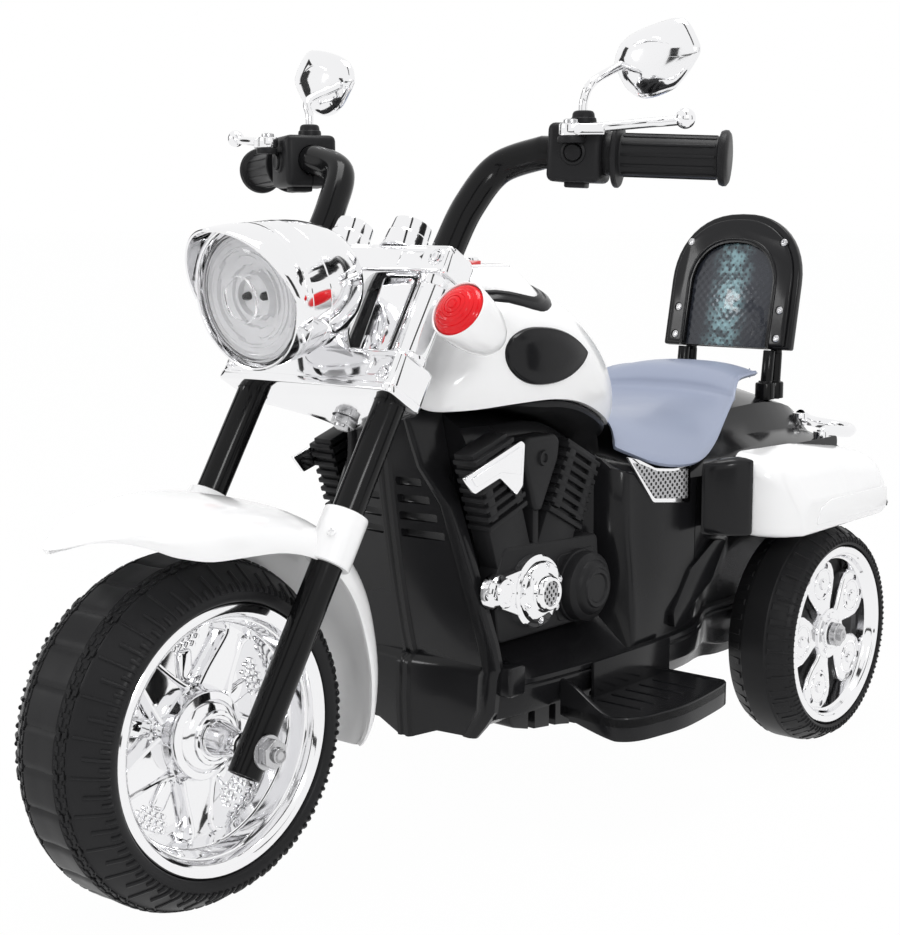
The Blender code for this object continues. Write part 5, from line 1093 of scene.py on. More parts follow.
FENDER_ROWS = ((128, 0.1648, 0.003, 0.1645), (126, 0.1632, 0.01, 0.1615),
    (122, 0.1605, 0.02, 0.157), (118, 0.1582, 0.0305, 0.15), (114, 0.156, 0.041, 0.1405),
    (110, 0.154, 0.05, 0.1305), (102, 0.1515, 0.0585, 0.1212), (90, 0.15, 0.063, 0.1184),
    (76, 0.149, 0.065, 0.1202), (64, 0.149, 0.0655, 0.1217), (52, 0.1485, 0.063, 0.1217),
    (36, 0.148, 0.056, 0.1222), (20, 0.1465, 0.048, 0.1247), (4, 0.1455, 0.042, 0.1292),
    (-8, 0.146, 0.036, 0.1342), (-14, 0.1468, 0.0285, 0.139), (-16, 0.1472, 0.023, 0.1415))


def fender():
    rows = []
    for degrees, crown, half, edge in faired(FENDER_ROWS, 4):
        angle = math.radians(degrees)
        row = []
        for k in range(33):
            turn = math.pi * k / 32
            across = math.copysign(abs(math.cos(turn)) ** 0.62, math.cos(turn)) * half
            reach = edge + (crown - edge) * max(math.sin(turn), 0.0) ** 0.75
            row.append((across, reach * math.cos(angle), WHEEL_R + reach * math.sin(angle)))
        rows.append(row)
    shell = soften(walled(facing_up(skin("front_fender", rows)), 0.0028), 0.0008, 2, 60)
    for side in (1, -1):
        collar = turned("fender_collar", mm((0, 121.8), (14.2, 121.8), (15, 122.6), (15, 156),
            (14.6, 157.4), (13.2, 158), (0, 158)), at_fork(LEG_X * side, 0, 0), 48)
        cut(shell, collar, "UNION")
        cut(shell, fork_rod("leg_room", LEG_X * side, 0, 0.09, 0.19, LEG_ROOM_R))
    screws = [screw("collar_screw", fork_front(0.0705 * side, -0.0136, 0.14) @ spun(24 * side, "Y"),
        0.003, 0.0012) for side in (1, -1)]
    done(joined(shell, *screws), WHITE, "steering", "front_fender")


fender()


# Tank, its strip, badges, dash and trim

TANK_ROWS = mm((182.5, 27.6, 311.5, 317.6), (183.8, 38, 306, 322.5), (186, 46, 302.2, 326),
    (192, 58, 301, 342), (212, 70, 301.5, 368), (240, 82, 304, 387.5), (275, 89, 305, 392),
    (305, 89, 301, 385), (335, 83, 292, 369), (362, 72, 282, 347), (386, 54, 274.5, 320),
    (402, 34, 272, 300), (406, 22, 274, 290), (407, 12, 278, 286))
TANK_CURVE = faired(TANK_ROWS, 4)
SIDE_POWER = 0.82
CREST_POWER = 0.92
STRIP_FRONT, STRIP_REAR = 0.2995, 0.3925
BADGE_Y, BADGE_Z = 0.2565, 0.3372


def waist_of(low, high):
    """The height at which the tank is widest."""
    return low + (high - low) * 0.28


def tank_surface(y, turn):
    """A point of the left side at a length and an angle from the waist to the crest."""
    half, low, high = between(TANK_CURVE, y)
    waist = waist_of(low, high)
    return Vector((half * max(math.cos(turn), 0.0) ** SIDE_POWER, y,
        waist + (high - waist) * math.sin(turn) ** CREST_POWER))


def tank_crest(x, y):
    """How high the tank's skin is at a place seen from above."""
    half, low, high = between(TANK_CURVE, y)
    waist = waist_of(low, high)
    share = min(abs(x) / half, 1.0) ** (1 / SIDE_POWER)
    return waist + (high - waist) * math.sqrt(max(1 - share ** 2, 0.0)) ** CREST_POWER


def tank_side(y, z):
    """How far out the tank's skin is at a place seen from the side."""
    half, low, high = between(TANK_CURVE, y)
    waist = waist_of(low, high)
    share = min(max((z - waist) / (high - waist), 0.0), 1.0) ** (1 / CREST_POWER)
    return half * max(1 - share ** 2, 0.0) ** (SIDE_POWER / 2)


def tank():
    rows = []
    for y, half, low, high in TANK_CURVE:
        waist = waist_of(low, high)
        side = [Vector((half * 0.84, y, low + 0.003)), Vector((half * 0.88, y, low)),
            Vector((half * 0.93, y, low + 0.0006)),
            Vector((half * 0.975, y, low + (waist - low) * 0.42)),
            Vector((half * 0.995, y, low + (waist - low) * 0.75))]
        side += [tank_surface(y, math.pi / 2 * k / 14) for k in range(15)]
        rows.append(over_the_top(side))
    shell = lofted("tank_shell", rows)
    cut(shell, block("neck_room", (-0.027, 0.1, 0.25), (0.027, 0.222, 0.45)))
    done(shell, WHITE, "chassis", "tank_shell", smooth=50)

    # Black strip down the back of the tank: two raised bands
    for name, half_x, lift in (("tank_strip", 0.019, 0.002), ("tank_strip_rib", 0.013, 0.0034)):
        rows = []
        for k in range(15):
            y = STRIP_FRONT + (STRIP_REAR - STRIP_FRONT) * k / 14
            narrow = half_x * (1.0 - 0.28 * (k / 14) ** 2)
            row = []
            for share in (-1, -0.96, -0.8, -0.4, 0, 0.4, 0.8, 0.96, 1):
                x = narrow * share
                rise = lift if abs(share) < 0.9 else (lift * 0.6 if abs(share) < 0.98 else -0.001)
                row.append((x, y, tank_crest(x, y) + rise))
            rows.append(row)
        done(close_up(skin(name, rows)), BLACK, "chassis")

    # The console's sloping skirt and the black double band round it
    band = faired(mm((48, 236), (55, 246), (62, 256), (68, 266), (70, 276), (64, 288), (48, 297.5),
        (25, 303.5), (0, 305.5)), 4)
    band = over_the_top([Vector((*spot, 0)) for spot in band])
    rim = faired(mm((20, 244.5), (27, 247), (30.4, 254), (30.6, 266), (30.6, 278), (30, 288),
        (25, 296), (14, 298.5), (0, 298.8)), 4)
    rim = over_the_top([Vector((*spot, 0.3975)) for spot in rim])
    rows, skirt = [], []
    for k, spot in enumerate(band):
        ahead = band[min(k + 1, len(band) - 1)] - band[max(k - 1, 0)]
        out = ahead.cross(UP).normalized()
        row = []
        for reach, lift in mm((-5, -1.2), (-4.8, 1.2), (-4, 1.9), (-1.4, 1.9), (-0.7, 0.8),
                (0.7, 0.8), (1.4, 1.7), (4, 1.5), (4.9, 0.8), (5.1, -1.2)):
            at = spot + out * reach
            row.append((at.x, at.y, tank_crest(at.x, at.y) + lift))
        rows.append(row)
        low = spot - out * 0.0042
        low.z = tank_crest(low.x, low.y)
        slope = [low.lerp(rim[k], share) + UP * lift
            for share, lift in ((0.04, 0.0006), (0.5, 0.001), (0.9, 0.0008))]
        skirt.append([low - UP * 0.0012, *slope, rim[k], rim[k] - UP * 0.008])
    done(skin("console_band", rows), BLACK, "chassis")
    done(skin("console_skirt", skirt), WHITE, "chassis", smooth=60)

    # Knee badges: teardrops that follow the skin
    rows = []
    for ring, lift in ((0.0, 0.003), (0.5, 0.003), (0.8, 0.0028), (0.9, 0.0022), (0.96, 0.0024),
            (1.0, 0.001), (1.0, -0.0016)):
        row = []
        for k in range(64):
            turn = 2 * math.pi * k / 64
            ahead, rise = math.cos(turn), math.sin(turn)
            length = 0.0515 if ahead > 0 else 0.0285
            power = 1.0 + 0.7 * max(ahead, 0.0) ** 0.5
            y = BADGE_Y + length * ahead * ring
            z = BADGE_Z + 0.02 * math.copysign(abs(rise) ** power, rise) * ring
            row.append((tank_side(y, z) + lift, y, z))
        rows.append(row)
    badge = skin("knee_badge", rows, wrap=True)
    done_pair(badge, BLACK, "chassis", "knee_badge_")

    # Dash, gauge and switch
    outline = rounded(mm((-25.5, 244), (25.5, 244), (30.8, 250), (30.8, 290), (24, 299), (-24, 299),
        (-30.8, 290), (-30.8, 250)), 0.004)
    base = slab("dash_panel", outline, shift(0, 0, 0.3923), 0.007, 0.0016, 3)
    outline = rounded(mm((-21.5, 248), (21.5, 248), (26.2, 253), (26.2, 288), (20.5, 295),
        (-20.5, 295), (-26.2, 288), (-26.2, 253)), 0.003)
    inset = slab("dash_inset", outline, shift(0, 0, 0.3984), 0.003, 0.0003)
    cut(base, inset)
    cut(base, block("switch_room", (0.0077, 0.252, 0.393), (0.0203, 0.272, 0.41)))
    done(base, WHITE, "chassis", "dash_panel")
    gauge_at = shift(-0.006, 0.284, 0.398)
    gauge = turned("gauge", mm((0, 3), (7.4, 3), (7.8, 5.2), (8.6, 5.8), (9.6, 5.2), (10, 3.6),
        (10, 0), (0, 0)), gauge_at, 48)
    done(gauge, CHROME, "chassis")
    ticks = [block("tick", (0.005, -0.0003, 0.0029), (0.0068, 0.0003, 0.0034),
        gauge_at @ spun(30 * k)) for k in range(12)]
    hand = block("gauge_hand", (-0.001, -0.0003, 0.0029), (0.0056, 0.0003, 0.0036),
        gauge_at @ spun(130), 0.0001, 1)
    done(joined(hand, *ticks), BLACK, "chassis")
    at = place((0.008, 0.262, 0.3993), LEFT, BACK)
    rocker = slab("power_switch", mm((-8.5, -1), (-8.5, 2.6), (-6, 2.2), (0, 1.2), (6, 2.2),
        (8.5, 2.6), (8.5, -1), (0, -4)), at, 0.012, 0.0005, 2)
    mark = block("switch_mark", (0.0118, 0.2565, 0.401), (0.0162, 0.2573, 0.4026))
    cut(rocker, mark)
    done(rocker, RED, "rocker", "power_switch")


tank()


# Seat

SEAT_ROWS = mm((410.5, 283.5, 70, 370, 262.5), (412, 284, 74, 372, 260), (425, 283, 94, 386, 251),
    (445, 282, 105, 406, 247.5), (465, 282.5, 107, 433, 248.5), (490, 283.5, 99, 465, 257),
    (515, 285.5, 88, 498, 272), (540, 288.5, 79, 525, 285), (546.5, 293, 77, 530, 288.5),
    (550, 299, 75, 536, 293), (565, 309, 69, 553, 301), (590, 311, 66, 585, 303),
    (604.5, 306.2, 54, 601, 299.8), (606, 305, 51, 602, 299.2))


def seat():
    rows = []
    for mid_y, mid_z, edge_x, edge_y, edge_z in faired(SEAT_ROWS, 4):
        row = []
        for k in range(-28, 29):
            share = abs(k) / 28
            lip = 0.0016 * math.exp(-((share - 0.955) / 0.022) ** 2)
            row.append((edge_x * k / 28, mid_y + (edge_y - mid_y) * share ** 2.3,
                mid_z + (edge_z - mid_z) * share ** 2.6 + lip - 0.0007))
        rows.append(row)
    shell = soften(walled(facing_up(skin("seat", rows)), 0.003), 0.001, 3, 50)
    done(shell, SEAT, "chassis", "seat", smooth=60)


seat()


# Backrest

REST_LEAN = math.radians(12)
REST_AT = place((0, 0.649, 0.317), (0, -math.cos(REST_LEAN), math.sin(REST_LEAN)), LEFT)


def arch(half, top, bottom):
    """An outline with upright sides under a rounded top."""
    low = top - half * 0.95
    points = [(-half, bottom)]
    for k in range(25):
        turn = math.pi * (1 - k / 24)
        points.append((half * math.copysign(abs(math.cos(turn)) ** 0.85, math.cos(turn)),
            low + (top - low) * math.sin(turn) ** 0.95))
    return points + [(half, bottom)]


def backrest():
    back = slab("backrest_frame", arch(0.065, 0.1206, 0.0), REST_AT, 0.0085, 0.002, 3)
    step = slab("frame_step", arch(0.06, 0.115, 0.002), REST_AT @ shift(0, 0, 0.008),
        0.004, 0.0016, 3)
    cut(back, step, "UNION")
    cut(back, slab("panel_room", arch(0.042, 0.094, -0.01), REST_AT @ shift(0, 0, 0.0045), 0.02))
    bead = arch(0.0445, 0.097, 0.0)
    rim = pipe("panel_bead", [REST_AT @ Vector((x, y, 0.012)) for x, y in bead], 0.0014, 4, 2)
    screws = []
    for x, up in mm((47.5, 94), (52, 34), (52, 9)):
        for side in (1, -1):
            spot = REST_AT @ shift(x * side, up, 0.0119)
            cut(back, stub("screw_room", spot, -0.0016, 0.004, 0.004, 24))
            screws.append(screw("rest_screw", spot @ shift(0, 0, -0.0014), 0.0034, 0.0016))
    done(joined(back, rim), BLACK, "chassis", "backrest_frame")
    done(joined(*screws), STEEL, "chassis")
    panel = slab("backrest_panel", arch(0.0415, 0.0935, 0.0005), REST_AT @ shift(0, 0, 0.0048),
        0.0042, 0.0008, 2)
    done(panel, PANEL, "chassis", "backrest_panel")


backrest()


# Saddlebags

def saddlebag():
    rings = []
    for x, front, low, high, rear in mm((119, 458, 188, 252, 634), (130, 457.5, 187, 251, 635.2),
            (140, 458, 186.5, 249.5, 636), (150, 464, 186.2, 245, 636.8),
            (156, 471, 186, 239.5, 637.2), (160.2, 478, 186, 231, 637.2),
            (163.2, 484, 186, 219.5, 637), (165.2, 488, 187.4, 215.5, 635),
            (166, 491, 189.5, 212, 632)):
        corners = [(front, low + 0.004), (front, high - 0.01), (front + 0.009, high),
            ((front + rear) / 2, high - 0.0016), (rear - 0.07, high - 0.0035),
            (rear - 0.008, high - 0.011), (rear, high - 0.019), (rear, low + 0.009),
            (rear - 0.009, low + 0.002), (front + 0.008, low)]
        rings.append([(x, y, z) for y, z in rounded(corners, 0.005, 3)])
    cover = skin("saddlebag_cover", rings, wrap=True)
    pick(cover)
    bpy.ops.object.mode_set(mode="EDIT")
    bpy.ops.mesh.select_all(action="DESELECT")
    go("OBJECT")
    for vert in cover.data.vertices:
        vert.select = vert.co.x > 0.1659
    bpy.ops.object.mode_set(mode="EDIT")
    bpy.ops.mesh.edge_face_add()
    bpy.ops.mesh.inset(thickness=0.0006)
    go("OBJECT")
    close_up(cover)
    use(cover, "SOLIDIFY", thickness=0.0026, offset=-1.0)
    # A shallow stepped panel in the rear part of the outer face
    panel = side_plate("bag_panel", mm((509, 193), (516, 206), (532, 211), (630, 211), (630, 193)),
        0.004, 0.1655, 0.0012, 0.0005, 2)
    done_pair(joined(cover, panel), WHITE, "chassis", "saddlebag_cover_", smooth=40)


saddlebag()


# Rear loops

def rear_bumper():
    hoop = pipe("rear_bumper", mm((60, 672, 259), (60, 686, 253.5), (62, 699, 250), (74, 710, 247),
        (90, 708.5, 245.5), (97, 692, 245), (96, 670, 247.5), (93.5, 656, 248), (93, 650, 244)),
        0.005, 6, 8)
    for x, y, z in ((0.06, 0.672, 0.256), (0.093, 0.65, 0.244)):
        foot = cylinder("loop_foot", (x, y, z - 0.006), (x, y, z + 0.005), 0.0066, 24, 0.001)
        cut(hoop, foot, "UNION")
    cut(hoop, screw("loop_screw", shift(0.093, 0.65, 0.249), 0.0036, 0.0016), "UNION")
    done_pair(hoop, CHROME, "chassis", "rear_bumper_")


rear_bumper()


# Handlebars, grips, levers, mirrors and buttons

BAR_R = 0.011
BAR_STRAIGHT = 0.048
BAR_GRIP = Vector((0.15, 0.25, 0.473))
BAR_END = Vector((0.215, 0.279, 0.47))
GRIP_LINE = (BAR_END - BAR_GRIP).normalized()
GRIP_FORE = -UP.cross(GRIP_LINE).normalized()
HOUSING_MID = BAR_GRIP - GRIP_LINE * 0.024
GRIP_AT = place(BAR_GRIP, GRIP_LINE, UP)
HOUSING_AXES = Matrix((GRIP_LINE, -GRIP_FORE, GRIP_LINE.cross(-GRIP_FORE))).transposed()
HOUSING_AT = Matrix.Translation(HOUSING_MID) @ HOUSING_AXES.to_4x4()
LEVER_ROOT = HOUSING_MID + GRIP_FORE * 0.0285 + UP * 0.014
LEVER_TIP = LEVER_ROOT + GRIP_LINE * 0.074 + UP * 0.009
MIRROR_FOOT = HOUSING_MID + Vector((-0.001, 0.0055, 0.028))
MIRROR_MID = Vector((0.152, 0.292, 0.539))
MIRROR_OUTLINE = mm((-30.4, -3), (-28.6, 4.5), (-24.3, 11), (-15, 16.5), (0, 21), (16.7, 23.7),
    (24.5, 20.8), (30.9, 12.2), (35.4, 2.6), (32.3, -5.4), (23.9, -16.5), (15.1, -23.6),
    (-3.7, -28.3), (-17.7, -22.6), (-27.5, -9.4))


def handlebar():
    route = faired([fork_point(BAR_X, 0, 0.3315), fork_point(BAR_X, 0, 0.3525),
        (0.064, 0.2035, 0.44), (0.0745, 0.2225, 0.465), BAR_GRIP - GRIP_LINE * BAR_STRAIGHT], 10)
    bar = pipe("handlebar", [*route, BAR_GRIP, BAR_END], BAR_R, 10, 1)
    done_pair(bar, PAINT, "steering", "handlebar_")


def grip_housing():
    length = (BAR_END - BAR_GRIP).length
    profile = [(0.0, length + 0.004), (0.012, length + 0.004), (0.016, length + 0.0034),
        (0.0178, length + 0.002), (0.018, length), (0.0172, length - 0.0022),
        (0.0138, length - 0.0034), (0.0136, length - 0.006)]
    profile += [(0.0136, 0.0066), (0.0142, 0.0048), (0.0206, 0.0036), (0.0215, 0.0026),
        (0.0215, 0.0008), (0.0208, 0.0), (0.0114, 0.0), (0.0114, length), (0.0, length)]
    grip = turned("grip", profile, GRIP_AT, 48)
    # Raised ribs along the grip, all round
    ribs = ring_of(block("grip_rib", (0.0128, -0.001, 0.006), (0.0143, 0.001, length - 0.0045),
        GRIP_AT, 0.0004, 2), GRIP_AT, 12)
    housing = block("housing", (-0.018, -0.02, -0.019), (0.018, 0.02, 0.019), HOUSING_AT, 0.0045, 4)
    cut(housing, block("seam", (-0.02, -0.0003, -0.03), (0.02, 0.0003, 0.0), HOUSING_AT))
    cut(housing, cylinder("bar_room", BAR_GRIP - GRIP_LINE * BAR_STRAIGHT, BAR_GRIP,
        BAR_ROOM_R, 40))
    cut(housing, cylinder("stem_room", MIRROR_FOOT - UP * 0.0092, MIRROR_FOOT + UP * 0.01,
        0.0034, 24))
    cut(housing, cylinder("button_room", HOUSING_MID + GRIP_FORE * 0.0135,
        HOUSING_MID + GRIP_FORE * 0.03, 0.0058, 32))
    lug = block("housing_lug", (-0.007, -0.012, -0.0225), (0.007, 0.004, -0.018), HOUSING_AT,
        0.0012, 2)
    collar = turned("button_collar", mm((6, 0), (6, 1.2), (6.6, 1.6), (8, 1), (8.4, 0), (8.4, -1),
        (6, -1)), place(HOUSING_MID + GRIP_FORE * 0.02, GRIP_FORE, UP), 40, True)
    boot = turned("mirror_boot", mm((3.4, 0), (3.4, 9.2), (5, 9.4), (6.4, 8.8), (7.2, 7.6),
        (7.6, 5), (8.4, 4.4), (8.7, 3), (8.7, 0)), Matrix.Translation(MIRROR_FOOT - UP * 0.0094),
        40, True)
    ear = cylinder("lever_ear", LEVER_ROOT - UP * 0.0085, LEVER_ROOT - UP * 0.0043,
        0.0085, 32, 0.0008)
    web = block("lever_web", (-0.008, -0.024, 0.0063), (0.008, -0.012, 0.0103), HOUSING_AT,
        0.0008, 2)
    neck = cylinder("grip_neck", BAR_GRIP - GRIP_LINE * 0.0065, BAR_GRIP, 0.0138, 32, 0.0006)
    bolt = hex_screw("housing_bolt", HOUSING_AT @ shift(0.0095, -0.006, 0.0188), 0.0034, 0.0016)
    done_pair(joined(housing, grip, ribs, lug, collar, boot, ear, web, neck, bolt), SATIN,
        "steering", "hand_grip_")
    pin = cylinder("lever_pin", LEVER_ROOT - UP * 0.006, LEVER_ROOT + UP * 0.0052, 0.0026, 20)
    head = screw("pin_head", Matrix.Translation(LEVER_ROOT + UP * 0.0048), 0.0048, 0.002)
    done_pair(joined(pin, head), STEEL, "steering")


def lever():
    line = (LEVER_TIP - LEVER_ROOT).normalized()
    arm = pipe("brake_lever", [LEVER_ROOT + line * 0.006, LEVER_ROOT + line * 0.0165,
        LEVER_ROOT + line * 0.03, LEVER_ROOT + line * 0.052 + GRIP_FORE * 0.002,
        LEVER_TIP - line * 0.012, LEVER_TIP], 0.0036, 6, 6)
    flatter = Matrix.Scale(0.85, 4, UP)
    arm.data.transform(Matrix.Translation(LEVER_ROOT) @ flatter @ Matrix.Translation(-LEVER_ROOT))
    ball = turned("lever_ball", [(0.0065 * math.sin(math.pi * k / 16),
        -0.0065 * math.cos(math.pi * k / 16)) for k in range(17)], place(LEVER_TIP, line, UP), 32)
    hub = cylinder("lever_hub", LEVER_ROOT - UP * 0.004, LEVER_ROOT + UP * 0.004, 0.0075, 36, 0.001)
    wedge = slab("lever_wedge", mm((0, -6.6), (10, -5.6), (23, -3.4), (23, 3), (10, 5.2), (0, 6.6)),
        place(LEVER_ROOT - UP * 0.0036, UP, GRIP_LINE), 0.0072, 0.0012, 3)
    for piece in (wedge, ball, arm):
        cut(hub, piece, "UNION")
    cut(hub, cylinder("lever_bore", LEVER_ROOT - UP * 0.02, LEVER_ROOT + UP * 0.02, 0.003, 24))
    hub.name = "brake_lever"
    done_pair(hub, CHROME, "lever_", "brake_lever_", smooth=40)


def mirror():
    at = place(MIRROR_MID, (0.03, -1.0, 0.1), LEFT)
    outline = [point[:2] for point in faired([*MIRROR_OUTLINE, MIRROR_OUTLINE[0]], 4)][:-1]
    rings = []
    for depth, size in ((0.0016, 0.925), (0.0002, 0.93), (-0.0002, 0.96), (0.0004, 0.99),
            (0.0016, 1.0), (0.0034, 0.985), (0.0056, 0.9), (0.0084, 0.745), (0.0108, 0.56),
            (0.0122, 0.4), (0.013, 0.22), (0.0132, 0.08)):
        rings.append([at @ Vector((x * size - 0.004 * (1 - size), y * size, depth))
            for x, y in outline])
    shell = lofted("mirror", rings)
    # The moulded swirl on the back of the shell
    swirl = pipe("mirror_swirl", [at @ Vector(spot) for spot in mm((-18, -2, 6.8), (-9, 6, 10.4),
        (4, 8.5, 11.2), (16, 5, 8.8), (23, -3, 6.4))], 0.0021, 5, 6)
    stem = pipe("mirror_stem", [MIRROR_FOOT - UP * 0.0085, MIRROR_FOOT + UP * 0.006,
        MIRROR_FOOT + Vector((0.0045, 0.004, 0.0185)),
        MIRROR_MID + Vector((-0.021, -0.0095, -0.0055)),
        MIRROR_MID + Vector((-0.008, -0.008, -0.001))], 0.003, 6, 8)
    cut(shell, swirl, "UNION")
    cut(shell, stem, "UNION")
    done_pair(shell, CHROME, "mirror_arm_", "mirror_", smooth=40)
    plate = slab("mirror_glass", [(x * 0.915 - 0.0003, y * 0.915) for x, y in outline],
        at @ shift(0, 0, 0.001), 0.001)
    done_pair(plate, GLASS, "mirror_arm_")


def button():
    at = place(HOUSING_MID + GRIP_FORE * 0.016, GRIP_FORE, UP)
    cap = turned("handlebar_button", mm((0, 6.6), (3.4, 6.8), (4.8, 7), (5.4, 6.2), (5.5, 0),
        (0, 0)), at, 40)
    done_pair(cap, SATIN, "button_", "handlebar_button_")


handlebar()
grip_housing()
lever()
mirror()
button()


# Body shells: half sections from the keel round the sill and up to the top
# Each row: Y, keel Z, then X and Z of eight points, then top Z

BODY_ROWS = mm(
    (218, 64, 60, 74, 78, 84, 80, 110, 58, 128, 58, 200, 54, 268, 44, 287, 22, 300, 300),
    (245, 66, 64, 76, 90, 87, 92, 112, 58, 132, 58, 200, 58, 268, 48, 287, 24, 300, 300),
    (300, 70, 66, 79, 95, 90, 97, 112, 58, 134, 58, 200, 58, 264, 50, 285, 25, 287, 287),
    (346, 78, 70, 83, 98, 92, 99.5, 112, 58, 136, 58, 200, 58, 250, 50, 264, 25, 266, 266),
    (356, 79, 81, 80, 98.3, 92, 99.5, 112, 82, 139, 78, 196, 77, 247, 56, 258, 28, 260, 260),
    (362, 79, 85, 79, 98.5, 92, 99.5, 112, 92.5, 140, 86.5, 195, 85.5, 245, 60, 253, 30, 256, 256),
    (372, 79, 85, 79, 98.5, 92, 99.5, 112, 94.5, 140, 89, 195, 87.8, 243, 62, 251, 30, 254, 254),
    (400, 79, 88, 79, 99, 92, 99.5, 112, 98, 145, 95.5, 190, 94.5, 237, 80, 244, 35, 251, 251),
    (445, 79, 86, 79, 97, 92, 98.5, 115, 98, 150, 99, 190, 101, 235.5, 85, 246, 40, 260, 263),
    (478, 79, 80, 79, 85, 92, 87, 120, 88, 165, 99, 190, 103, 238.5, 80, 249, 42, 264, 268),
    (515, 73.5, 74, 73.5, 82, 84, 85, 120, 87, 178, 99.5, 191, 103.5, 238.5, 72, 251, 46, 266, 272),
    (560, 73.5, 74, 73.5, 82, 84, 85, 120, 87, 184, 99.5, 192, 103.5, 238.5, 68, 252, 50, 272, 283),
    (620, 73.5, 74, 73.5, 82, 84, 85, 120, 87, 184, 99.5, 192, 103.5, 238.5, 66, 251, 52, 274, 286),
    (672, 82, 70, 84, 80, 96, 83, 125, 85, 180, 96, 192, 100, 234.5, 62, 247, 48, 266, 277),
    (704, 110, 58, 112, 72, 120, 76, 140, 78, 178, 86, 190, 88, 220, 54, 236, 40, 248, 256),
    (718, 140, 40, 142, 54, 146, 58, 156, 60, 176, 64, 186, 66, 206, 42, 218, 26, 226, 230))


def bag_form(name, sections, rear, rise, corner, steps):
    """A part of the saddlebag through sections of (X, front, low, high)."""
    return lofted(name, [[(x, y, z) for y, z in rounded([(front, low), (front, high),
        (rear, high + rise), (rear, low)], corner, steps)] for x, front, low, high in sections])


def body():
    rows = []
    for row in faired(BODY_ROWS, 3):
        y, keel, top = row[0], row[1], row[-1]
        points = [row[k:k + 2] for k in range(2, 18, 2)]
        (fx, fz), (lx, lz), (hx, hz), (rx, rz), (sx, sz), (dx, dz), (ux, uz), (cx, cz) = points
        mid = (lz + hz) / 2
        half = [(0.0004, keel), (fx * 0.6, keel + (fz - keel) * 0.6), (fx, fz),
            (lx - 0.0042, lz - 0.0018), (lx - 0.0012, lz - 0.0004), (lx, lz + 0.0024),
            ((lx + hx) / 2, mid - 0.003), (hx, mid + 0.003), (hx, hz - 0.0075),
            (hx - 0.0014, hz - 0.006), (hx - 0.0014, hz - 0.0048), (hx - 0.0004, hz - 0.0036),
            (hx - 0.0016, hz - 0.001), (hx - 0.005, hz + 0.0006), (rx, rz),
            (rx + (sx - rx) * 0.5, (rz + sz) / 2), (sx, sz), ((sx + dx) / 2, (sz + dz) / 2),
            (dx, dz - 0.002), (dx - 0.0016, dz), ((dx + ux) / 2, (dz + uz) / 2 + 0.0006), (ux, uz),
            ((ux + cx) / 2, (uz + cz) / 2), (cx, cz), (0.0004, top)]
        rows.append([(x, y, z) for x, z in half])
    shell = lofted("body_side", rows)
    cut(shell, cylinder("axle_opening", REAR_AXLE, REAR_AXLE + LEFT * 0.12, 0.0068, 32))
    # Panel line in front of the rear bulge
    cut(shell, block("rear_line", (0.06, 0.4385, 0.12), (0.11, 0.4395, 0.232)))
    # Floor pan with cross grooves below the sill
    pan = side_plate("under_pan", mm((233, 90), (238, 73), (262, 66.5), (296, 62.5), (330, 56),
        (350, 57), (356, 90)), 0.004, 0.038, 0.037, 0.0016, 2)
    for k in range(4):
        y = 0.258 + 0.025 * k
        cut(pan, block("pan_groove", (0.06, y, 0.05), (0.08, y + 0.008, 0.08), None, 0.001, 1))
    bracket = block("sill_bracket", (0.07, 0.215, 0.102), (0.0925, 0.233, 0.1235), None, 0.0024, 3)
    # The faceted leg panel in front of the rear wheel
    leg = side_plate("leg_panel", mm((409, 118), (407, 131), (431, 162), (465, 180), (483, 178),
        (462, 148)), 0.003, 0.094, 0.0072, 0.0026, 2)
    # The saddlebag's dark base and its curved front
    base = bag_form("bag_base", mm((97.5, 448, 194, 234), (104, 446, 192, 236),
        (107, 434, 191, 242), (110, 430, 190, 247), (118, 436, 189, 249)), 0.632, 0.0, 0.004, 3)
    nose = bag_form("bag_nose", mm((112, 430.5, 190, 247), (120, 432.5, 189.5, 248),
        (128, 437.5, 189, 249), (134, 444, 189, 248.5), (138, 451, 189.5, 247),
        (139.2, 454.5, 190.5, 246)), 0.4565, 0.002, 0.007, 5)
    done_pair(joined(shell, pan, bracket, leg, base, nose), BLACK, "chassis", "body_", smooth=28)

    # Perforated side grille in a pale frame
    fore, rear = Vector((0.0862, 0.36, 0)), Vector((0.1002, 0.432, 0))
    at = place(fore, (rear - fore).cross(UP), rear - fore)
    outline = mm((0, 256), (28, 219), (68, 215), (68, 244), (50, 243), (30, 245), (12, 253))
    outline = [(x, z if at.col[1].z > 0 else -z) for x, z in outline]
    border = slab("grille_frame", rounded(outline, 0.002, 3), at, 0.0026, 0.0008, 2)
    done_pair(border, CHROME, "chassis")
    inner = [((x - 0.04) * 0.88 + 0.04,
        (z - math.copysign(0.234, z)) * 0.8 + math.copysign(0.2338, z)) for x, z in outline]
    sheet = slab("grille_sheet", rounded(inner, 0.0015, 3), at @ shift(0, 0, 0.0022), 0.001)
    done_pair(sheet, MESH, "chassis")


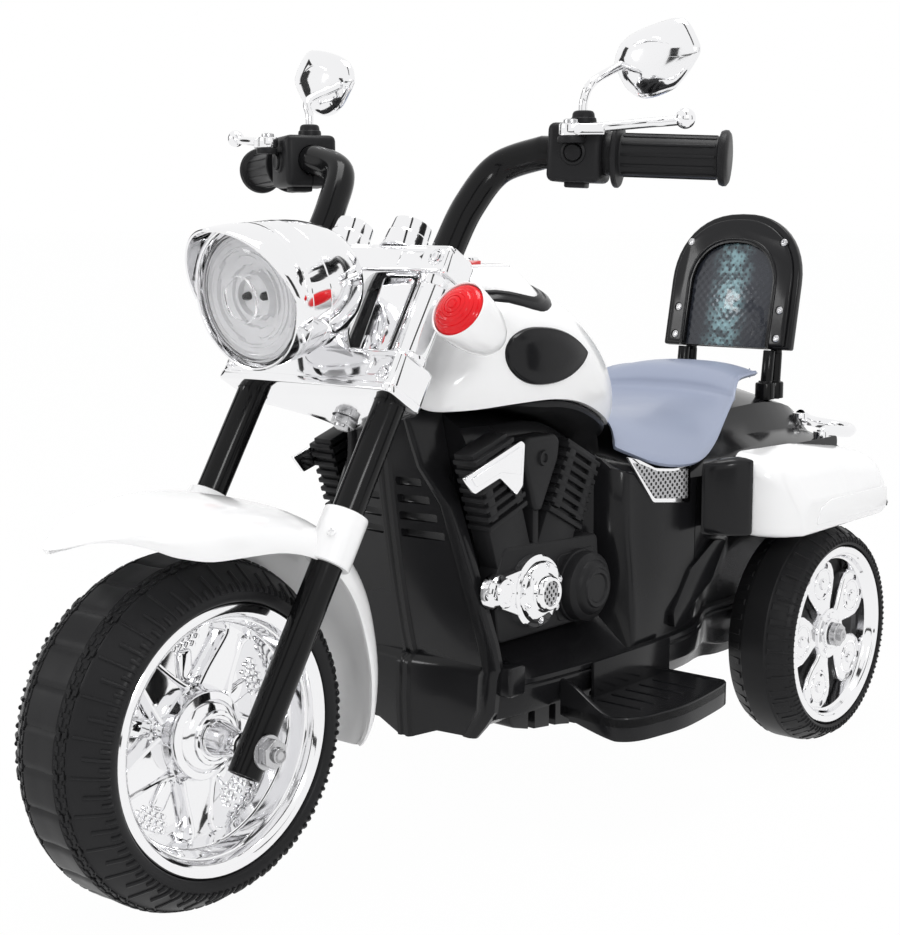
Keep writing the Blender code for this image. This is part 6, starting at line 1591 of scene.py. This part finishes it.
def radiator():
    rows = []
    for z, ridge, edge_x, edge_y, back in mm((300, 180, 28, 181.5, 217.2),
            (280, 183.2, 32.5, 185.2, 217.2), (262, 186.5, 37, 189, 217.2),
            (250.5, 188, 45, 192, 212), (236, 190, 55, 196, 206), (210, 194.2, 62.5, 199.8, 208.5),
            (185, 198.5, 69, 203.5, 211), (162, 203.2, 76.2, 206, 212.5),
            (140, 208, 83, 208.5, 214), (121.5, 213, 85, 211.8, 217),
            (118.5, 208.5, 83.8, 210.6, 217.2), (114, 206, 83, 210, 217.2),
            (90, 205, 80, 211, 217.2), (78, 205.6, 71, 211.8, 217.2), (68, 207, 62, 213, 217.2)):
        rail = 0.0016 if z > 0.119 else 0.0004
        keel = z if z > 0.08 else z - 0.008 * (0.082 - z) / 0.014
        half = [(0.0, ridge + 0.0014, keel), (0.0012, ridge + 0.0012, keel),
            (0.0022, ridge - 0.0002, keel), (0.005, ridge - 0.0002, keel),
            (0.0066, ridge + 0.0022, keel), (edge_x * 0.45, (ridge + edge_y) / 2 + 0.0018, z),
            (edge_x * 0.8, edge_y + 0.0014, z), (edge_x * 0.84, edge_y - rail, z),
            (edge_x * 0.92, edge_y - rail - 0.0004, z), (edge_x * 0.98, edge_y - rail + 0.001, z),
            (edge_x, edge_y + 0.002, z), (edge_x, back, z)]
        rows.append([(-x, y, h) for x, y, h in reversed(half[1:])] + half)
    cover = lofted("radiator_cover", rows)
    for k in range(4):
        z = 0.25 - 0.0125 * k
        y, edge = 0.184 + 0.0022 * k, 0.031 + 0.0052 * k
        for sign in (1, -1):
            low_x, high_x = sorted((sign * 0.0085, sign * edge * 0.97))
            cut(cover, block("louvre", (low_x, y - 0.012, z - 0.003),
                (high_x, y + 0.0115, z + 0.003), None, 0.0012, 2))
    done(cover, BLACK, "chassis", "radiator_cover", smooth=28)


ENGINE_X = 0.0583


def barrel(name, foot, head):
    """A cylinder's core, eight fins and two panels between its foot and its head."""
    foot, head = Vector(foot), Vector(head)
    run = (head - foot).normalized()
    across = Vector((-run.y, run.x))
    corners = [foot - across * 0.0195, foot + across * 0.0195, head + across * 0.0195,
        head - across * 0.0195]
    parts = [slab(name, corners, side_at(ENGINE_X), 0.0172, 0.001, 2)]
    length = (head - foot).length
    for k in range(8):
        at = foot + run * (length - 0.0035 - k * 0.007)
        fin = [at - across * 0.022, at + across * 0.022, at + across * 0.022 - run * 0.004,
            at - across * 0.022 - run * 0.004]
        parts.append(slab("fin", fin, side_at(ENGINE_X), 0.021, 0.0011, 2))
    for edge in (0.0145, -0.0145):
        middle = foot + run * (length - 0.028) + across * edge
        panel = [middle - across * 0.004 - run * 0.023, middle + across * 0.004 - run * 0.023,
            middle + across * 0.004 + run * 0.023, middle - across * 0.004 + run * 0.023]
        parts.append(slab("barrel_panel", panel, side_at(0.07), 0.0092, 0.001, 2))
    return parts


def engine():
    case = side_plate("engine", mm((222, 137), (216, 178), (228, 205), (340, 200), (345, 150),
        (340, 137)), 0.005, ENGINE_X, 0.018, 0.0022)
    raised = side_plate("case_panel", mm((290, 141), (289, 190), (334, 192), (339, 152),
        (335, 141)), 0.005, 0.076, 0.0012, 0.0006, 1)
    parts = [case, raised, *barrel("front_barrel", (0.2425, 0.19), (0.2125, 0.279)),
        *barrel("rear_barrel", (0.283, 0.19), (0.321, 0.266))]
    drop = arc((0.2655, 0.232), 0.006, 200, 340, 8) + mm((288.5, 262), (290, 275), (284.5, 280),
        (252, 280), (247, 275), (248, 262))
    parts.append(side_plate("air_cover", drop, 0.003, ENGINE_X, 0.0198, 0.003, 4))
    parts.append(turned("air_boss", mm((0, 1), (2.8, 1), (3.4, 2.4), (5.2, 2.4), (6, 0), (0, 0)),
        side_at(0.0778) @ shift(0.269, 0.264, 0), 32))
    parts.append(block("air_stem", (0.0583, 0.262, 0.19), (0.0753, 0.269, 0.236), None, 0.0015, 2))
    at = side_at(0.0745) @ shift(0.314, 0.165, 0)
    round_cover = turned("round_cover", mm((0, 20.5), (10, 20.5), (11.2, 21.6), (13.8, 21.6),
        (15, 20.4), (17.8, 19.6), (19.2, 18.4), (20.4, 16.4), (23.6, 15.2), (25.2, 13.8),
        (25.7, 11), (25.7, 6), (26.8, 5.4), (27, 4), (27, 0), (0, 0)), at, 64)
    done_pair(joined(*parts, round_cover), SATIN, "chassis", "engine_", smooth=28)

    wedge = side_plate("head_cover", mm((177.5, 260), (238.5, 279.5), (242.5, 277), (240.5, 248),
        (233.5, 242), (215, 256), (188, 248)), 0.0016, 0.0797, 0.003, 0.0012)
    facet = side_plate("wedge_facet", mm((184, 259), (236.5, 275.5), (238.5, 274), (237.2, 256),
        (215, 260), (189, 253)), 0.0012, 0.0817, 0.002, 0.0016)
    cut(wedge, facet, "UNION")
    done_pair(wedge, CHROME, "chassis", "head_cover_")


GEAR_X = 0.0766


def gear_cover():
    at = side_at(GEAR_X) @ shift(0.258, 0.17, 0)
    cover = turned("gear_cover", mm((0, 17.2), (8.6, 17.2), (9.2, 18.8), (11.2, 19), (12.4, 17.6),
        (13, 14.6), (14.2, 13.4), (19.6, 12.4), (21.4, 11.8), (22.2, 10.4), (22.8, 8.4),
        (25.2, 7.8), (26.4, 6.4), (26.5, 0), (0, 0)), at, 64)
    arm = side_plate("gear_arm", mm((213, 165.5), (252, 150), (256, 190), (215, 186)), 0.002,
        GEAR_X, 0.0072, 0.0014)
    cap = turned("gear_cap", mm((0, 13.2), (6.2, 13.2), (7, 14.2), (9.2, 14.2), (10.2, 13.2),
        (10.6, 9), (11.8, 7.4), (12.5, 6), (12.5, 0), (0, 0)),
        side_at(GEAR_X) @ shift(0.214, 0.1765, 0), 48)
    cut(cover, arm, "UNION")
    cut(cover, cap, "UNION")
    bolt = hex_screw("gear_bolt", at @ shift(0.019, 0, 0.0118), 0.0024, 0.0014)
    bolts = ring_of(bolt, at, 6, math.radians(20))
    done_pair(joined(cover, bolts), CHROME, "chassis", "gear_cover_")
    disc = turned("gear_mesh", mm((0, 0.4), (8.2, 0.4), (8.4, 0), (0, 0)),
        at @ shift(0, 0, 0.0173), 48)
    done_pair(disc, MESH, "chassis")


body()
radiator()
engine()
gear_cover()


# Tank trim, backrest posts, footboards and pedal

TRIM_FRONT, TRIM_REAR = 0.2185, 0.38


def tank_trim():
    rows = []
    for k in range(25):
        y = TRIM_FRONT + (TRIM_REAR - TRIM_FRONT) * k / 24
        half, low, _ = between(TANK_CURVE, y)
        under = between([(row[0], row[-1]) for row in BODY_ROWS], y)[0] + 0.0003
        wide, narrow, top = half * 0.9 - 0.001, half * 0.78, low - 0.0003
        skirt = max(top - 0.01, under + 0.0004)
        deep = top - skirt
        flank = [(wide - 0.003, top), (wide - 0.0004, top - deep * 0.08), (wide, top - deep * 0.25),
            (wide - 0.001, top - deep * 0.5), (narrow + 0.003, skirt + deep * 0.2), (narrow, skirt),
            (0.048, under)]
        rows.append(two_sided([(x, y, z) for x, z in flank]))
    trim = lofted("tank_trim", rows)
    done(trim, SATIN, "chassis", "tank_trim")


def rest_posts():
    x, reach, foot_z = 0.044, 0.0055, 0.274
    front_top = REST_AT @ Vector((x, -reach * math.tan(REST_LEAN), 0.006))
    front_foot = Vector((x, front_top.y - 0.006, foot_z))
    back_top = REST_AT @ Vector((x, 0.05, -reach))
    back_knee = REST_AT @ Vector((x, 0.004, -reach))
    back_foot = Vector((x, back_knee.y - 0.003, foot_z))
    route = [back_foot, back_knee - UP * 0.006, back_knee, back_top]
    parts = [cylinder("post_front", front_foot, front_top, 0.0052, 32, 0.0006),
        pipe("post_back", route, 0.0052, 8, 4)]
    for foot in (front_foot, back_foot):
        parts.append(turned("post_collar", mm((0, 0), (8.5, 0), (8.5, 13), (8, 14.2), (6, 14.8),
            (5.6, 16), (0, 16)), shift(foot.x, foot.y, 0.275), 36))
    for up in (0.02, 0.042):
        spot = REST_AT @ Vector((x, up, -2 * reach))
        parts.append(screw("post_screw", place(spot, REST_AT.col[2].to_3d() * -1, LEFT),
            0.0034, 0.0016))
    done_pair(joined(*parts), PAINT, "chassis", "backrest_post_")


BOARD_FLAT_X = 0.146
BOARD_SILL_X = 0.0955
BOARD_EDGE = mm((150, 402.5), (155.5, 396), (160, 375.6), (165.5, 327.5), (162.5, 296), (158, 276),
    (150, 266), (140, 263.5), (125, 264.3), (110, 266.5), (95.5, 269))


def along_edge(inset, thick):
    """A strip that follows the footboard's edge at an inset, up over the front to the sill."""
    edge = [Vector((*point, 0)) for point in faired(BOARD_EDGE, 5)]
    rings = []
    for k, spot in enumerate(edge):
        inward = (edge[min(k + 1, len(edge) - 1)] - edge[max(k - 1, 0)]).cross(UP).normalized()
        if k == 0:
            inward = -BACK
        if k == len(edge) - 1:
            inward = BACK
        rise = 0.0
        if spot.y < 0.2695:
            rise = (BOARD_FLAT_X - spot.x) / (BOARD_FLAT_X - BOARD_SILL_X)
            rise = max(0.0, min(1.0, rise))
        top = 0.088 + 0.018 * rise * rise * (3 - 2 * rise)
        low = 0.071 + 0.009 * rise
        outer, inner = spot + inward * inset, spot + inward * (inset + thick)
        soft = min(0.0014, thick * 0.3)
        rings.append([outer + UP * low, outer + UP * (top - soft),
            outer + inward * soft * 0.3 + UP * (top - soft * 0.3), outer + inward * soft + UP * top,
            inner - inward * soft + UP * top, inner - inward * soft * 0.3 + UP * (top - soft * 0.3),
            inner + UP * (top - soft), inner + UP * low])
    return lofted("edge_strip", rings)


def footboard():
    outline = [(0.0998, 0.4025), *faired(BOARD_EDGE, 5)]
    floor = slab("footboard", outline, shift(0, 0, 0.081), 0.006)
    back = block("board_back", (0.0998, 0.398, 0.071), (0.1502, 0.4025, 0.088), None, 0.0014, 3)
    flange = block("board_flange", (0.0998, 0.3, 0.0815), (0.1028, 0.4005, 0.113), None, 0.0008, 2)
    line = along_edge(0.0125, 0.0016)
    cut(line, block("line_low", (0.05, 0.2, 0.05), (0.2, 0.45, 0.0845)))
    cut(line, block("line_high", (0.05, 0.2, 0.088), (0.2, 0.45, 0.12)))
    parts = [floor, back, flange, along_edge(0.0, 0.0045), line]
    for k in range(5):
        y = 0.296 + 0.018 * k
        parts.append(block("tread", (0.108, y, 0.0862), (0.146, y + 0.003, 0.0878), None,
            0.0006, 2))
    done_pair(joined(*parts), BLACK, "chassis", "footboard_")


def foot_pedal():
    heel = Vector((-0.13, 0.352, 0.0908))
    slope = 0.132
    profile = mm((4, -3.5), (4, 1), (0, 2.2))
    for k in range(7):
        start = -0.008 - 0.0098 * k
        for back, tall in mm((0, 2.2), (1.5, 1.4), (5, 1.8), (6.5, 3)):
            profile.append((start - back, tall - start * slope))
    profile += mm((-78, 12.5), (-78, 8.5), (-4, -2))
    pedal = slab("foot_pedal", profile, place(heel - LEFT * 0.018, LEFT, BACK), 0.036, 0.0008, 2)
    done(pedal, SATIN, "pedal", "foot_pedal")


tank_trim()
rest_posts()
footboard()
foot_pedal()
